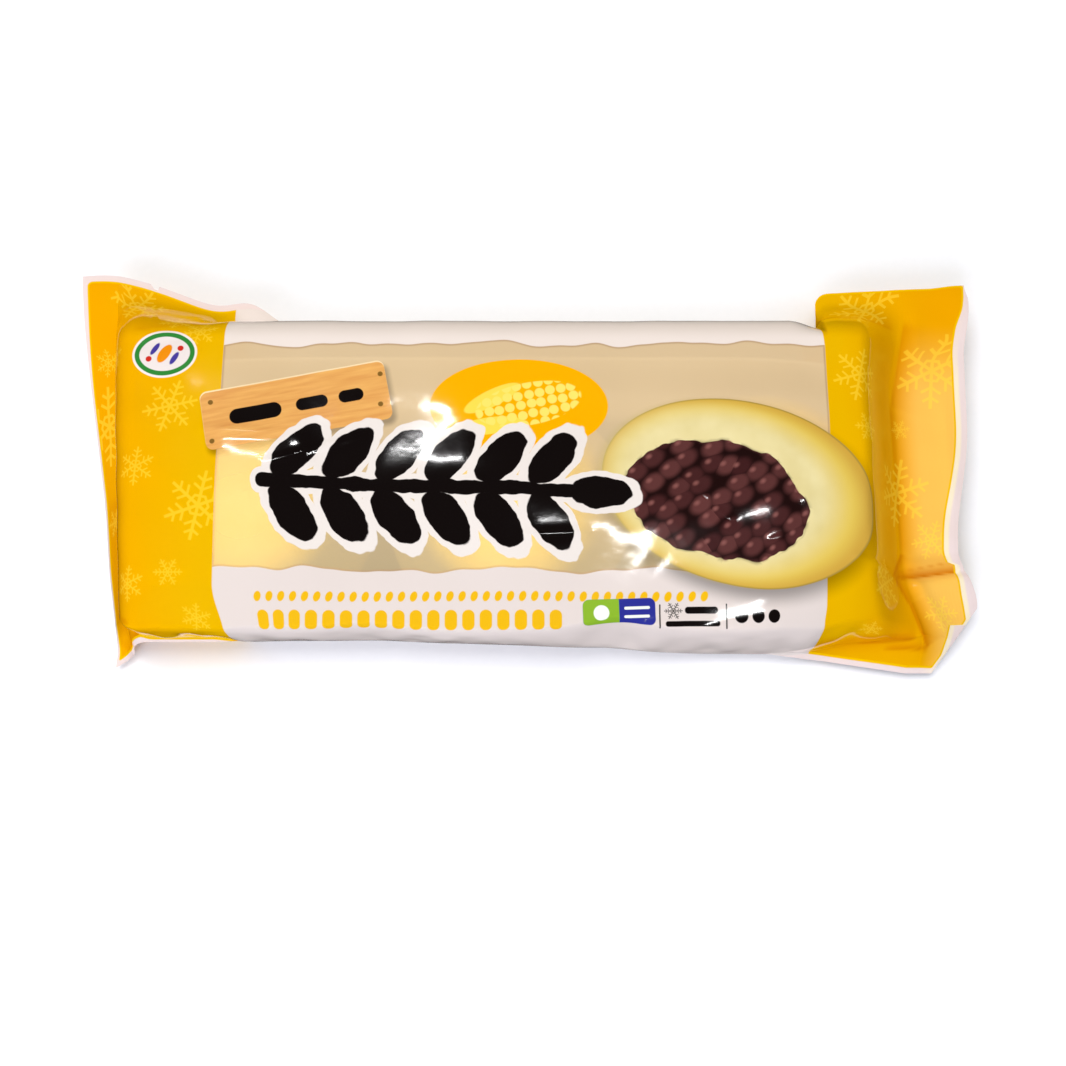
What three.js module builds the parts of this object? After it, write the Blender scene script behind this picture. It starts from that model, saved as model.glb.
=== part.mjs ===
// Sealed flow-wrapped pack of three buns lying flat, with crimped end fins and folded ears.
// Millimetres. X runs along the pack, Y towards the far long side, Z up.
// Two sheets of film, one over and one under, share a plan grid and meet along the pack's edge.
import * as THREE from 'three';

// Body
const PANEL_HEIGHT = 33.5;    // top panel above the table, clear of the buns
const CROWN = 1.6;            // how much higher the panel's middle line is than its sides
const CROWN_Y = -5;           // that middle line
const BUN = { pitch: 75, x: -5, y: -12, bulge: 2.8, spread: 27 };   // x, y: the middle bun
const SEAM_HEIGHT = 15;       // where the upper and lower sheets meet
const LOW_SEAM = 5;           // the same on the right half of the near side
const LOW_SIDE = { from: 5, to: 60, easeFrom: 85, ease: 0.8, inner: -30, outer: -52 };
const FILM_GAP = 0.8;         // thickness where the two sheets lie together
const PLAN_CORNER = 9;
const CROWN_REACH = 50;       // distance from the middle line at which the crown is gone
const WALL_FULL = 32;         // height at which the near wall no longer leans
const LEAN_REACH = 14;        // how far in from the near wall the lean dies out
// The near right corner sags beyond a slanting line through x, y
const SLACK = { x: 94, y: -30, alongX: 0.6, alongY: -0.8, depth: 8, length: 26 };

// How far in from the edge each wall takes to reach full height
const NEAR_RUN = 3.5;
const FAR_RUN = 10;
const LEFT_RUN = 9;
const RIGHT_RUN = 11;
const BASE_RUN = 8;

// Long sides
const FAR_SIDE_Y = 43.4;
const NEAR_TOP_Y = -55.3;     // top edge of the near wall
const NEAR_FOOT_Y = -53.4;    // its foot on the left half, which leans in
const FOOT_SPREAD = 2.6;      // how much further out the foot is on the right half
const FOOT_SPREADS = { from: -30, to: 40 };
const LEAN_LEFT = [-120, -112];   // the lean starts and stops between these
const LEAN_RIGHT = [80, 62];
const PUCKERS = [             // where the near wall's top edge is pulled in (+) or bows out (-)
  { x: -44, width: 12, depth: 1.2 },
  { x: -15, width: 18, depth: -1.1 },
  { x: 25, width: 9, depth: 2.6 },
  { x: 58, width: 18, depth: -0.9 },
];

// Ears: the flat flaps of film beside the ends
const FAR_LEFT_EAR = { from: -68, to: -134, width: 18.2, bump: 2.4, bumpX: -84, bumpWidth: 5 };
const FAR_RIGHT_EAR = { from: 89, width: 11.5, corner: 4, slope: 0.055 };
const NEAR_LEFT_EAR = { from: -113, slope: 0.64 };
const NEAR_RIGHT_EAR = { start: 57, from: 67, inner: -50, width: 5.3, slope: 0.125, limit: -61.2 };
const NEAR_EAR = { low: 2.4, steep: 1.3, y: -58 };   // its outer edge's height, steepest fall and line
const FAR_EAR = { drop: 0.8, steep: 0.5, y: 56 };

// End fins, by nominal station along the pack
const LEFT_END = -137;
const LEFT_ROOT = -121.6;
const RIGHT_ROOT = 111;
const RIGHT_END = 136.5;
const LEFT_FIN = { width: 11.8, farReach: 11.6, nearReach: 4.8, half: 60, skew: 0.079 };
const RIGHT_FIN = { end: 136.4, root: 110.2, drop: 1 };
const FOLD = { y: -28, width: 3, depth: 1.6, nip: 2, nipWidth: 4 };   // crease across the right fin

// Slow changes along a line: each step adds `by` between `from` and `to`
const RIGHT_ROOT_STEPS = [
  { from: -30, to: -56, by: 7 },
  { from: 18, to: 52, by: 5 },
];
const RIGHT_END_STEPS = [
  { from: 52, to: 58, by: -1.2 },
  { from: 52, to: 36, by: -1.8 },
  { from: 25, to: -15, by: -3.4 },
  { from: -29, to: -41, by: 3.5 },
];
const RIGHT_DROP_STEPS = [
  { from: 50, to: 10, by: 1.5 },
  { from: -26, to: -46, by: 4 },
];
const PANEL_STEPS = [
  { from: 92, to: 112, by: -2.5 },
  { from: -100, to: -120, by: -1 },
];
const NEAR_TOP_STEPS = [{ from: 80, to: 104, by: -2.2 }];
const NEAR_RUN_STEPS = [{ from: 80, to: 105, by: 3 }];

// The near right corner of the crimped end is folded under along this slanting line
const FOLDED_CORNER = { x: 121.6, y: -60.6, slope: 0.72 };
const STRAIGHT = 80;          // stations between -80 and 80 are square to the pack

// Grid: how many strips each zone gets
const STATIONS = { leftFin: 3, leftWall: 5, middle: 46, rightWall: 5, rightFin: 5 };
const STRIPS = { nearFlap: 2, nearWall: 5, panel: 12, farWall: 4, farFlap: 3 };
const EAR_STATIONS = [87.9, 88.15, 88.8, 90];   // close together where the far right ear begins
const EAR_CLEAR = 2.4;

const clamp = (v, lo = 0, hi = 1) => Math.min(hi, Math.max(lo, v));
const hill = (x, width) => Math.exp(-((x / width) ** 2));
const quarter = (k, n) => 1 - Math.cos((Math.PI / 2) * k / n);

function smooth(a, b, x) {
  const t = clamp((x - a) / (b - a));
  return t * t * (3 - 2 * t);
}

function stepped(steps, v) {
  return steps.reduce((sum, step) => sum + step.by * smooth(step.from, step.to, v), 0);
}

// Ends: where the fins start and stop at each y
const leftRoot = (y) => LEFT_ROOT - LEFT_FIN.skew * y;
const rightRoot = (y) => RIGHT_FIN.root + stepped(RIGHT_ROOT_STEPS, y);

function leftReach(y) {
  const { farReach, nearReach, half } = LEFT_FIN;
  return farReach - (farReach - nearReach) * smooth(half, -half, y);
}

function leftDrop(y) {
  return Math.sqrt(LEFT_FIN.width ** 2 - leftReach(y) ** 2);
}

function rightEnd(y) {
  const edge = RIGHT_FIN.end + stepped(RIGHT_END_STEPS, y) - FOLD.nip * hill(y - FOLD.y, FOLD.nipWidth);
  const slant = FOLDED_CORNER.x + FOLDED_CORNER.slope * (y - FOLDED_CORNER.y);
  return Math.min(edge, slant);
}

// Places a nominal station at the x it has at this y, as the ends aren't square to the pack
function placeX(X, y) {
  const stops = [
    [LEFT_END, leftRoot(y) - leftReach(y)],
    [LEFT_ROOT, leftRoot(y)],
    [-STRAIGHT, -STRAIGHT],
    [STRAIGHT, STRAIGHT],
    [RIGHT_ROOT, rightRoot(y)],
    [RIGHT_END, rightEnd(y)],
  ];
  const k = Math.max(1, stops.findIndex(([at]) => X <= at));
  const [a, xa] = stops[k - 1];
  const [b, xb] = stops[k];
  return xa + (xb - xa) * (X - a) / (b - a);
}

function cornerInset(X) {
  const t = clamp(1 - Math.min(X - LEFT_ROOT, RIGHT_ROOT - X) / PLAN_CORNER, 0, 0.97);
  return PLAN_CORNER * (1 - Math.sqrt(1 - t * t));
}

// Long sides and ears, as functions of the real x
function nearTop(x) {
  const pulled = PUCKERS.reduce((sum, p) => sum + p.depth * hill(x - p.x, p.width), 0);
  return NEAR_TOP_Y + pulled + stepped(NEAR_TOP_STEPS, x);
}

// How far the near wall's foot stands in from its top edge, between the ears
function nearLean(x) {
  const foot = NEAR_FOOT_Y - FOOT_SPREAD * smooth(FOOT_SPREADS.from, FOOT_SPREADS.to, x);
  const ends = smooth(...LEAN_LEFT, x) * smooth(...LEAN_RIGHT, x);
  return (foot - nearTop(x)) * ends;
}

function nearEar(x) {
  if (x < NEAR_LEFT_EAR.from) {
    return NEAR_FOOT_Y + NEAR_LEFT_EAR.slope * (x - NEAR_LEFT_EAR.from);
  }
  const { start, from, inner, width, slope, limit } = NEAR_RIGHT_EAR;
  return Math.max(inner - width * smooth(start, from, x) - slope * Math.max(0, x - from), limit);
}

function farEar(x) {
  const left = FAR_LEFT_EAR;
  const right = FAR_RIGHT_EAR;
  if (x < 0) {
    return FAR_SIDE_Y + left.width * smooth(left.from, left.to, x)
      + left.bump * hill(x - left.bumpX, left.bumpWidth);
  }
  if (x < right.from) return FAR_SIDE_Y;
  const t = clamp((x - right.from) / right.corner);
  const round = right.corner * (1 - Math.sqrt(1 - (1 - t) ** 2));
  return FAR_SIDE_Y + right.width - round + right.slope * (x - right.from - right.corner);
}

// Plan lines at a station: pack edge and wall on the near and far side
function planLines(X) {
  const nearWall = nearTop(placeX(X, NEAR_TOP_Y)) + cornerInset(X);
  const farWall = FAR_SIDE_Y - cornerInset(X);
  return {
    nearWall,
    farWall,
    nearEdge: Math.min(nearWall, nearEar(placeX(X, NEAR_EAR.y))),
    farEdge: Math.max(farWall, farEar(placeX(X, FAR_EAR.y))),
  };
}

function panelHeight(x, y) {
  let h = PANEL_HEIGHT + CROWN * (1 - ((y - CROWN_Y) / CROWN_REACH) ** 2);
  for (const k of [-1, 0, 1]) {
    h += BUN.bulge * hill(x - BUN.x - k * BUN.pitch, BUN.spread) * hill(y - BUN.y, BUN.spread);
  }
  const beyond = SLACK.alongX * (x - SLACK.x) + SLACK.alongY * (y - SLACK.y);
  return h - SLACK.depth * smooth(0, SLACK.length, beyond) + stepped(PANEL_STEPS, x);
}

// How far the near seam lies below its usual height: it is low on the right half
function lowSide(X, y) {
  const { from, to, easeFrom, ease, inner, outer } = LOW_SIDE;
  const here = smooth(from, to, X) * (1 - ease * smooth(easeFrom, RIGHT_ROOT, X));
  return (SEAM_HEIGHT - LOW_SEAM) * here * smooth(inner, outer, y);
}

// Height of the surface where the two sheets meet: fins and ears hang a little
function meetHeight(X, y, line) {
  const left = clamp((LEFT_ROOT - X) / (LEFT_ROOT - LEFT_END));
  const right = clamp((X - RIGHT_ROOT) / (RIGHT_END - RIGHT_ROOT));
  const rightDrop = RIGHT_FIN.drop + stepped(RIGHT_DROP_STEPS, y)
    + FOLD.depth * hill(y - FOLD.y, FOLD.width);
  let z = SEAM_HEIGHT - left * leftDrop(y) - right * rightDrop - lowSide(X, y);
  if (y < line.nearWall) {
    const width = line.nearWall - line.nearEdge;
    const drop = Math.min(Math.max(z - NEAR_EAR.low, 0), NEAR_EAR.steep * width);
    z -= drop * (line.nearWall - y) / width;
  }
  if (y > line.farWall) {
    const width = line.farEdge - line.farWall;
    z -= Math.min(FAR_EAR.drop, FAR_EAR.steep * width) * (y - line.farWall) / width;
  }
  return z;
}

// 1 on the plateau, falling to 0 at the walls as a quarter ellipse does
function plateau(X, y, line, nearRun, farRun) {
  const end = clamp(Math.max(1 - (X - LEFT_ROOT) / LEFT_RUN, 1 - (RIGHT_ROOT - X) / RIGHT_RUN));
  const side = clamp(Math.max(1 - (y - line.nearWall) / nearRun, 1 - (line.farWall - y) / farRun));
  return Math.sqrt(1 - clamp(end * end + side * side));
}

// The near wall's top edge is crisp on the body and softer towards the right end
const nearRunAt = (X) => NEAR_RUN + stepped(NEAR_RUN_STEPS, X);

function stations() {
  const out = [];
  const { leftFin, leftWall, middle, rightWall, rightFin } = STATIONS;
  for (let k = 0; k < leftFin; k++) {
    out.push(LEFT_END + (LEFT_ROOT - LEFT_END) * k / leftFin);
  }
  for (let k = 0; k < leftWall; k++) {
    out.push(LEFT_ROOT + LEFT_RUN * quarter(k, leftWall));
  }
  const start = LEFT_ROOT + LEFT_RUN;
  const length = RIGHT_ROOT - RIGHT_RUN - start;
  for (let k = 0; k < middle; k++) {
    const X = start + length * k / middle;
    if (Math.abs(X - EAR_STATIONS[2]) > EAR_CLEAR) out.push(X);
  }
  out.push(...EAR_STATIONS);
  for (let k = rightWall; k > 0; k--) {
    out.push(RIGHT_ROOT - RIGHT_RUN * quarter(k, rightWall));
  }
  for (let k = 0; k <= rightFin; k++) {
    out.push(RIGHT_ROOT + (RIGHT_END - RIGHT_ROOT) * k / rightFin);
  }
  return out.sort((p, q) => p - q);
}

function strips(X, line) {
  const out = [];
  const run = nearRunAt(X);
  const { nearFlap, nearWall, panel, farWall, farFlap } = STRIPS;
  for (let k = 0; k < nearFlap; k++) {
    out.push(line.nearEdge + (line.nearWall - line.nearEdge) * k / nearFlap);
  }
  for (let k = 0; k < nearWall; k++) {
    out.push(line.nearWall + run * quarter(k, nearWall));
  }
  const start = line.nearWall + run;
  const length = line.farWall - FAR_RUN - start;
  for (let k = 0; k < panel; k++) {
    out.push(start + length * k / panel);
  }
  for (let k = farWall; k > 0; k--) {
    out.push(line.farWall - FAR_RUN * quarter(k, farWall));
  }
  for (let k = 0; k <= farFlap; k++) {
    out.push(line.farWall + (line.farEdge - line.farWall) * k / farFlap);
  }
  return out;
}

// One column of the two sheets: points across the pack at a station
function column(X) {
  const line = planLines(X);
  const sheet = (surface) => strips(X, line).map((y) => {
    const x = placeX(X, y);
    const z = surface(x, y, meetHeight(X, y, line));
    const lean = nearLean(x) * smooth(line.nearWall + LEAN_REACH, line.nearWall, y);
    return [x, y + lean * clamp(1 - z / WALL_FULL), z];
  });
  return {
    top: sheet((x, y, meet) => {
      const low = meet + FILM_GAP / 2;
      return low + (panelHeight(x, y) - low) * plateau(X, y, line, nearRunAt(X), FAR_RUN);
    }),
    base: sheet((x, y, meet) =>
      (meet - FILM_GAP / 2) * (1 - plateau(X, y, line, BASE_RUN, BASE_RUN))),
  };
}

// Closes the two sheets into one solid with a rim all round
function packGeometry() {
  const columns = stations().map(column);
  const points = [];
  const number = (row) => row.map((p) => points.push(p) - 1);
  const rows = columns.map(({ top, base }) => ({ top: number(top), base: number(base) }));
  const faces = [];
  const quad = (a, b, c, d) => faces.push(a, b, c, a, c, d);
  const last = rows[0].top.length - 1;
  for (let i = 0; i + 1 < rows.length; i++) {
    const p = rows[i];
    const q = rows[i + 1];
    for (let j = 0; j < last; j++) {
      quad(p.top[j], q.top[j], q.top[j + 1], p.top[j + 1]);
      quad(p.base[j], p.base[j + 1], q.base[j + 1], q.base[j]);
    }
    quad(p.base[0], q.base[0], q.top[0], p.top[0]);
    quad(p.top[last], q.top[last], q.base[last], p.base[last]);
  }
  const left = rows[0];
  const right = rows[rows.length - 1];
  for (let j = 0; j < last; j++) {
    quad(left.top[j], left.top[j + 1], left.base[j + 1], left.base[j]);
    quad(right.top[j], right.base[j], right.base[j + 1], right.top[j + 1]);
  }
  const geometry = new THREE.BufferGeometry();
  geometry.setAttribute('position', new THREE.Float32BufferAttribute(points.flat(), 3));
  geometry.setIndex(faces);
  geometry.computeBoundingBox();
  const centre = geometry.boundingBox.getCenter(new THREE.Vector3());
  geometry.translate(-centre.x, -centre.y, -geometry.boundingBox.min.z);
  geometry.computeVertexNormals();
  return geometry;
}

const film = new THREE.MeshStandardMaterial({ color: '#f3b701', roughness: 0.35, metalness: 0 });
film.name = 'film';
const pack = new THREE.Mesh(packGeometry(), film);
pack.name = 'pack';

const model = new THREE.Group();
model.name = 'bun_pack';
model.add(pack);
export default model;
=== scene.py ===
# %% [markdown]
# A sealed pack of three steamed buns
#
# The real thing is a flow wrap: one web of printed plastic film is folded round a tray of buns, sealed along
# its back, and crimped flat at both ends. It lies on its back, seen from above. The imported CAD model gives
# one plain solid of that form. This notebook replaces it with the film, and puts the tray and the buns
# inside, all in the same frame and at the same size.

# %% Load the frame
import math

import bmesh
import bpy
import numpy as np
from mathutils import Matrix, Vector


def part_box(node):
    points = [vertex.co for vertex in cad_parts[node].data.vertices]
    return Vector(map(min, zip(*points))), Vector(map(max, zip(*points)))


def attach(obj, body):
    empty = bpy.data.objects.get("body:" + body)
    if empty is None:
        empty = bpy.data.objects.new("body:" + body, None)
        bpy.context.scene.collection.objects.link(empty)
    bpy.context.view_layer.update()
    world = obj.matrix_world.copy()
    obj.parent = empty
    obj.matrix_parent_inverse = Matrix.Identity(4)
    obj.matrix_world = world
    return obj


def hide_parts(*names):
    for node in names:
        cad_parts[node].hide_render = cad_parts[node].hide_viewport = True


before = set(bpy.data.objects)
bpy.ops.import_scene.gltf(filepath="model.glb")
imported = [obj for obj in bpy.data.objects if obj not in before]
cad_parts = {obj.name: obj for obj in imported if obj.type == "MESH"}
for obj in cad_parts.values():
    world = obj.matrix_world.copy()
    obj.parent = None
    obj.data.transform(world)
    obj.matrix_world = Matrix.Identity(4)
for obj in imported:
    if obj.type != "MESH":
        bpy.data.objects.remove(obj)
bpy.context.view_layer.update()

pack_low, pack_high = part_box("pack")
print("the solid is", [round(1000 * s, 1) for s in pack_high - pack_low], "mm")

# %% [markdown]
# Small tools
#
# Blender works in metres, and a pack is easier to think about in millimetres, so lengths here are in mm and
# turn to metres only when a mesh is made. Colours are written as sRGB hex, as a designer reads them off a
# screen, and one function turns them to the linear values that shaders want, also for every node.

# %% Units, colours and nodes
MM = 0.001


def linear(code, alpha=1.0):
    """An sRGB hex colour as linear RGBA."""
    out = []
    for k in (1, 3, 5):
        c = int(code[k:k + 2], 16) / 255
        out.append(c / 12.92 if c <= 0.04045 else ((c + 0.055) / 1.055) ** 2.4)
    return (*out, alpha)


def add(tree, kind, inputs=(), **settings):
    """Adds a node. settings are its properties. inputs gives each input a number, colour, node or socket,
    as a list in the node's own order or by name."""
    node = tree.nodes.new(kind)
    for name, value in settings.items():
        setattr(node, name, value)
    shown = [socket for socket in node.inputs if socket.enabled]
    for name, value in inputs.items() if isinstance(inputs, dict) else enumerate(inputs):
        socket = shown[name] if isinstance(name, int) else next(s for s in shown if s.name == name)
        if isinstance(value, bpy.types.Node):
            value = next(out for out in value.outputs if out.enabled)
        if isinstance(value, bpy.types.NodeSocket):
            tree.links.new(value, socket)
        else:
            socket.default_value = linear(value) if isinstance(value, str) else value
    return node


def new_material(name):
    """An empty node material and its node tree."""
    material = bpy.data.materials.new(name)
    material.use_nodes = True
    material.node_tree.nodes.clear()
    return material, material.node_tree


print("yellow ink is", [round(c, 3) for c in linear("#f4b400")])

# %% [markdown]
# The form of the film
#
# Film has no thickness to speak of, so it could be modelled by hand as a subdivided plane, or dropped over
# the buns by a cloth simulation. A simulation wouldn't give back the same outline as the solid, so the film
# is worked out by the same rules as the solid instead, on a much finer grid: a flat panel, walls that round
# off like quarter ellipses, and fins and ears that hang from the line where the front and back film meet.

# %% Shape helpers
def clamp(v, low=0.0, high=1.0):
    return np.minimum(high, np.maximum(low, v))


def hill(x, width):
    """A bell of height 1 around 0."""
    return np.exp(-((x / width) ** 2))


def smooth(a, b, x):
    """A soft step from 0 at a to 1 at b."""
    t = clamp((x - a) / (b - a))
    return t * t * (3 - 2 * t)


def stepped(steps, v):
    """Slow changes along a line: each (start, stop, amount) adds its amount between start and stop."""
    return sum(amount * smooth(start, stop, v) for start, stop, amount in steps)


def quarter(n):
    """n + 1 shares from 0 to 1, close together at 0, as a quarter ellipse needs."""
    return 1 - np.cos(np.linspace(0, math.pi / 2, n + 1))


# %% Sizes of the body, in mm
PANEL_HEIGHT, CROWN, CROWN_Y, CROWN_REACH = 33.5, 1.6, -5, 50
BUN_PITCH, BUN_X, BUN_Y, BULGE, BULGE_SPREAD = 75, -5, -12, 2.8, 27
SEAM_HEIGHT, LOW_SEAM, FILM_GAP, PLAN_CORNER = 15, 5, 0.3, 9
WALL_FULL, LEAN_REACH = 32, 14
NEAR_RUN, FAR_RUN, LEFT_RUN, RIGHT_RUN, BASE_RUN = 3.5, 10, 9, 11, 8
FAR_SIDE_Y, NEAR_TOP_Y, NEAR_FOOT_Y, FOOT_SPREAD = 43.4, -55.3, -52.2, 3.4
NEAR_EAR_Y, FAR_EAR_Y, FOLD_Y = -58, 56, -28
LEFT_END, LEFT_ROOT, RIGHT_ROOT, RIGHT_END, STRAIGHT = -137, -121.6, 111, 136.5, 80
LEFT_FIN_FILM = 11.8
PUCKERS = [(-44, 12, 1.2), (-15, 18, -1.1), (25, 9, 2.6), (58, 18, -0.9)]
NOTCH_X, NOTCH_HALF, NOTCH_DEPTH = -114.5, 1.1, 1.4     # a tear notch in the far left ear
EAR_START = 87.9
SEAM_Y, SEAM_HALF, SEAM_ROOM = -6, 6, 0.5      # the back seam lies in a shallow groove


# %% Ends
def left_root(y):
    """The x at which the left end turns into its fin."""
    return LEFT_ROOT - 0.079 * y


def left_reach(y):
    """How far the left fin reaches out, which is less where it hangs down more."""
    return 11.6 - 6.8 * smooth(60, -60, y) + 0.8 * hill(y + 32, 16) + 1.2 * smooth(-54, -61, y)


def left_drop(y):
    """How far it hangs down, as its film is equally long everywhere."""
    return np.sqrt(LEFT_FIN_FILM ** 2 - left_reach(y) ** 2)


def right_root(y):
    """The x at which the right end turns into its fin."""
    return 110.2 + stepped([(-30, -56, 7), (18, 52, 5)], y)


def right_end(y):
    """The right fin's edge, cut off by the corner that is folded under along a slanting line."""
    edge = 136.6 + stepped([(53, 58, -1.0), (52, 34, -2.6), (14, -24, -5.2), (-25, -42, 5.9)], y)
    return np.minimum(edge, 121.6 + 0.72 * (y + 60.6))


def place_x(X, y):
    """The x of nominal station X at y, because the ends aren't square to the pack."""
    nominal = [LEFT_END, LEFT_ROOT, -STRAIGHT, STRAIGHT, RIGHT_ROOT, RIGHT_END]
    real = [left_root(y) - left_reach(y), left_root(y), -STRAIGHT, STRAIGHT, right_root(y), right_end(y)]
    x = real[0]
    for k in range(5):
        share = clamp((X - nominal[k]) / (nominal[k + 1] - nominal[k]))
        x = x + (real[k + 1] - real[k]) * share
    return x


print("the left fin reaches", round(float(left_reach(60.0)), 1), "mm at its far end")


# %% Sides and ears
def corner_inset(X):
    """How far the body's corners are rounded in, seen from above."""
    t = clamp(1 - np.minimum(X - LEFT_ROOT, RIGHT_ROOT - X) / PLAN_CORNER, 0, 0.97)
    return PLAN_CORNER * (1 - np.sqrt(1 - t * t))


def near_top(x):
    """The y of the near edge of the panel, pulled in at every pucker."""
    pulled = sum(depth * hill(x - at, width) for at, width, depth in PUCKERS)
    return NEAR_TOP_Y + pulled + stepped([(80, 98, 2.3), (-80, -92, 1.3)], x)


def near_lean(x):
    """How far the foot of the near wall stands out from its top."""
    foot = NEAR_FOOT_Y - FOOT_SPREAD * smooth(-22, 28, x) + 0.6 * hill(x + 66, 12)
    foot = foot + 1.1 * smooth(-78, -92, x)
    return (foot - near_top(x)) * smooth(-120, -112, x) * smooth(80, 62, x)


def near_run(X):
    """How far the near edge is rounded off: sharply at the left, softly at the right."""
    return NEAR_RUN + stepped([(80, 100, 1.5), (-76, -92, -1.9)], X)


def near_ear(x):
    """The y of the flaps that stand out at the foot of the near wall."""
    corner = -53.4 + 0.64 * (x + 113)
    left = -55.1 + 5 * smooth(-84, -72, x)
    right = -50 - 5.3 * smooth(57, 67, x) - 0.1 * np.maximum(0, x - 67) - 0.05 * np.maximum(0, x - 88)
    return np.where(x < -116.6, corner, np.where(x < 0, left, np.maximum(right, -61.2)))


def far_ear(x):
    """The y of the flaps at the far side: a long ear at the left and a square one at the right."""
    left = FAR_SIDE_Y + 18.2 * smooth(-68, -134, x) + 5.2 * hill(x + 84.5, 8.5)
    t = clamp((x - 89) / 4)
    rounded = 4 * (1 - np.sqrt(1 - (1 - t) ** 2))
    right = FAR_SIDE_Y + 11.7 - rounded + 0.055 * (x - 93) + 0.7 * smooth(124, 134, x)
    return np.where(x < 0, left, np.where(x < 89, FAR_SIDE_Y, right))


print("the near wall's foot stands out", round(float(near_lean(0.0)), 1), "mm at the middle")


# %% Heights
def panel_height(x, y):
    """A slightly crowned panel that bulges over each bun and goes slack at the near right."""
    h = PANEL_HEIGHT + CROWN * (1 - ((y - CROWN_Y) / CROWN_REACH) ** 2)
    for k in (-1, 0, 1):
        h = h + BULGE * hill(x - BUN_X - k * BUN_PITCH, BULGE_SPREAD) * hill(y - BUN_Y, BULGE_SPREAD)
    slack = smooth(0, 26, 0.6 * (x - 94) - 0.8 * (y + 30))
    return h - 8 * slack + stepped([(92, 112, -2.5), (-100, -120, -1)], x)


def meet_height(X, y, lines):
    """Where the front and back film meet."""
    near_wall, far_wall, near_edge, far_edge = lines
    left = clamp((LEFT_ROOT - X) / (LEFT_ROOT - LEFT_END))
    right = clamp((X - RIGHT_ROOT) / (RIGHT_END - RIGHT_ROOT))
    right_drop = 1 + stepped([(50, 10, 1.5), (-26, -46, 4)], y) + 1.6 * hill(y - FOLD_Y, 3)
    low_side = smooth(5, 60, X) * (1 - 0.8 * smooth(85, RIGHT_ROOT, X)) * smooth(-30, -52, y)
    z = SEAM_HEIGHT - left * left_drop(y) - right * right_drop - (SEAM_HEIGHT - LOW_SEAM) * low_side
    width = np.maximum(near_wall - near_edge, 1e-6)
    drop = np.minimum(np.maximum(z - 2.4, 0), 1.3 * width)
    z = z - drop * clamp((near_wall - y) / width)
    width = np.maximum(far_edge - far_wall, 1e-6)
    return z - np.minimum(0.8, 0.5 * width) * clamp((y - far_wall) / width)


print("over the middle bun the film stands at", round(float(panel_height(BUN_X, BUN_Y)), 1), "mm")


# %% From the panel down to the walls and ears
def plateau(X, y, lines, run_near, run_far):
    """1 on the panel, falling to 0 at the walls."""
    near_wall, far_wall = lines[:2]
    end = clamp(np.maximum(1 - (X - LEFT_ROOT) / LEFT_RUN, 1 - (RIGHT_ROOT - X) / RIGHT_RUN))
    side = clamp(np.maximum(1 - (y - near_wall) / run_near, 1 - (far_wall - y) / run_far))
    return np.sqrt(1 - clamp(end * end + side * side))


def gusset(X, y, lines, run_near):
    """The panel's fall at the ends, where no tray holds the film and it runs down softly into the ears."""
    near_wall, far_wall, _, far_edge = lines
    outer = far_edge - 0.25 * (far_edge - far_wall)
    inner = far_wall - 9.5
    fall = smooth(0, 1, (outer - y) / (outer - inner))
    near = np.sqrt(1 - clamp(1 - (y - near_wall) / run_near) ** 2)
    left = np.sqrt(1 - clamp(1 - (X - LEFT_ROOT) / LEFT_RUN) ** 2)
    right = smooth(-2, 14, RIGHT_ROOT - X)
    return fall * near * np.where(X < 0, left, right)


def softened(X, y, lines):
    """The front film's plateau, which turns into the gussets near both ends."""
    plain = plateau(X, y, lines, near_run(X), FAR_RUN)
    share = smooth(78, 92, X) + smooth(-84, -98, X) * smooth(0, 30, y)
    return plain + (gusset(X, y, lines, near_run(X)) - plain) * share


print("the panel rounds off over", NEAR_RUN, "mm at the near side and", RIGHT_RUN, "mm at the right end")

# %% [markdown]
# The grid
#
# Points are set out in columns along the pack and strips across it. They stand close together where the film
# turns sharply, at the walls and where the far right ear begins, and about a millimetre apart on the panel,
# which is fine enough for the small folds that catch the light.

# %% Stations and strips
FIN_STEPS, END_STEPS, MIDDLE_STEPS = 32, 14, 218            # along the pack
FLAP_STEPS, NEAR_STEPS, PANEL_STEPS, FAR_STEPS = 12, 16, 110, 14        # across it
NOTCH_STATION = -110.6      # the station that falls at the tear notch


def stations():
    """Nominal stations along the pack, from end to end."""
    start, stop = LEFT_ROOT + LEFT_RUN, RIGHT_ROOT - RIGHT_RUN
    ear = EAR_START + 2.1 * quarter(7)
    notch = NOTCH_STATION + np.linspace(-1.2, 1.2, 13)
    middle = np.linspace(start, stop, MIDDLE_STEPS + 1)
    middle = middle[(middle < ear[0] - 0.4) | (middle > ear[-1] + 0.4)]
    middle = middle[(middle < notch[0] - 0.2) | (middle > notch[-1] + 0.2)]
    return np.unique(np.concatenate([
        np.linspace(LEFT_END, LEFT_ROOT, FIN_STEPS + 1),
        LEFT_ROOT + LEFT_RUN * quarter(END_STEPS),
        notch,
        middle,
        ear,
        RIGHT_ROOT - RIGHT_RUN * quarter(END_STEPS),
        np.linspace(RIGHT_ROOT, RIGHT_END, FIN_STEPS + 1),
    ]).round(6))


def plan_lines(X):
    """The y of both walls and of both outer edges at every station."""
    near_wall = near_top(place_x(X, NEAR_TOP_Y)) + corner_inset(X) * (1 - 0.75 * smooth(60, 90, X))
    far_wall = FAR_SIDE_Y - 0.3 * corner_inset(X)
    near_edge = np.minimum(near_wall, near_ear(place_x(X, NEAR_EAR_Y)))
    far_edge = np.maximum(far_wall, far_ear(place_x(X, FAR_EAR_Y)))
    return near_wall, far_wall, near_edge, far_edge


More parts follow.
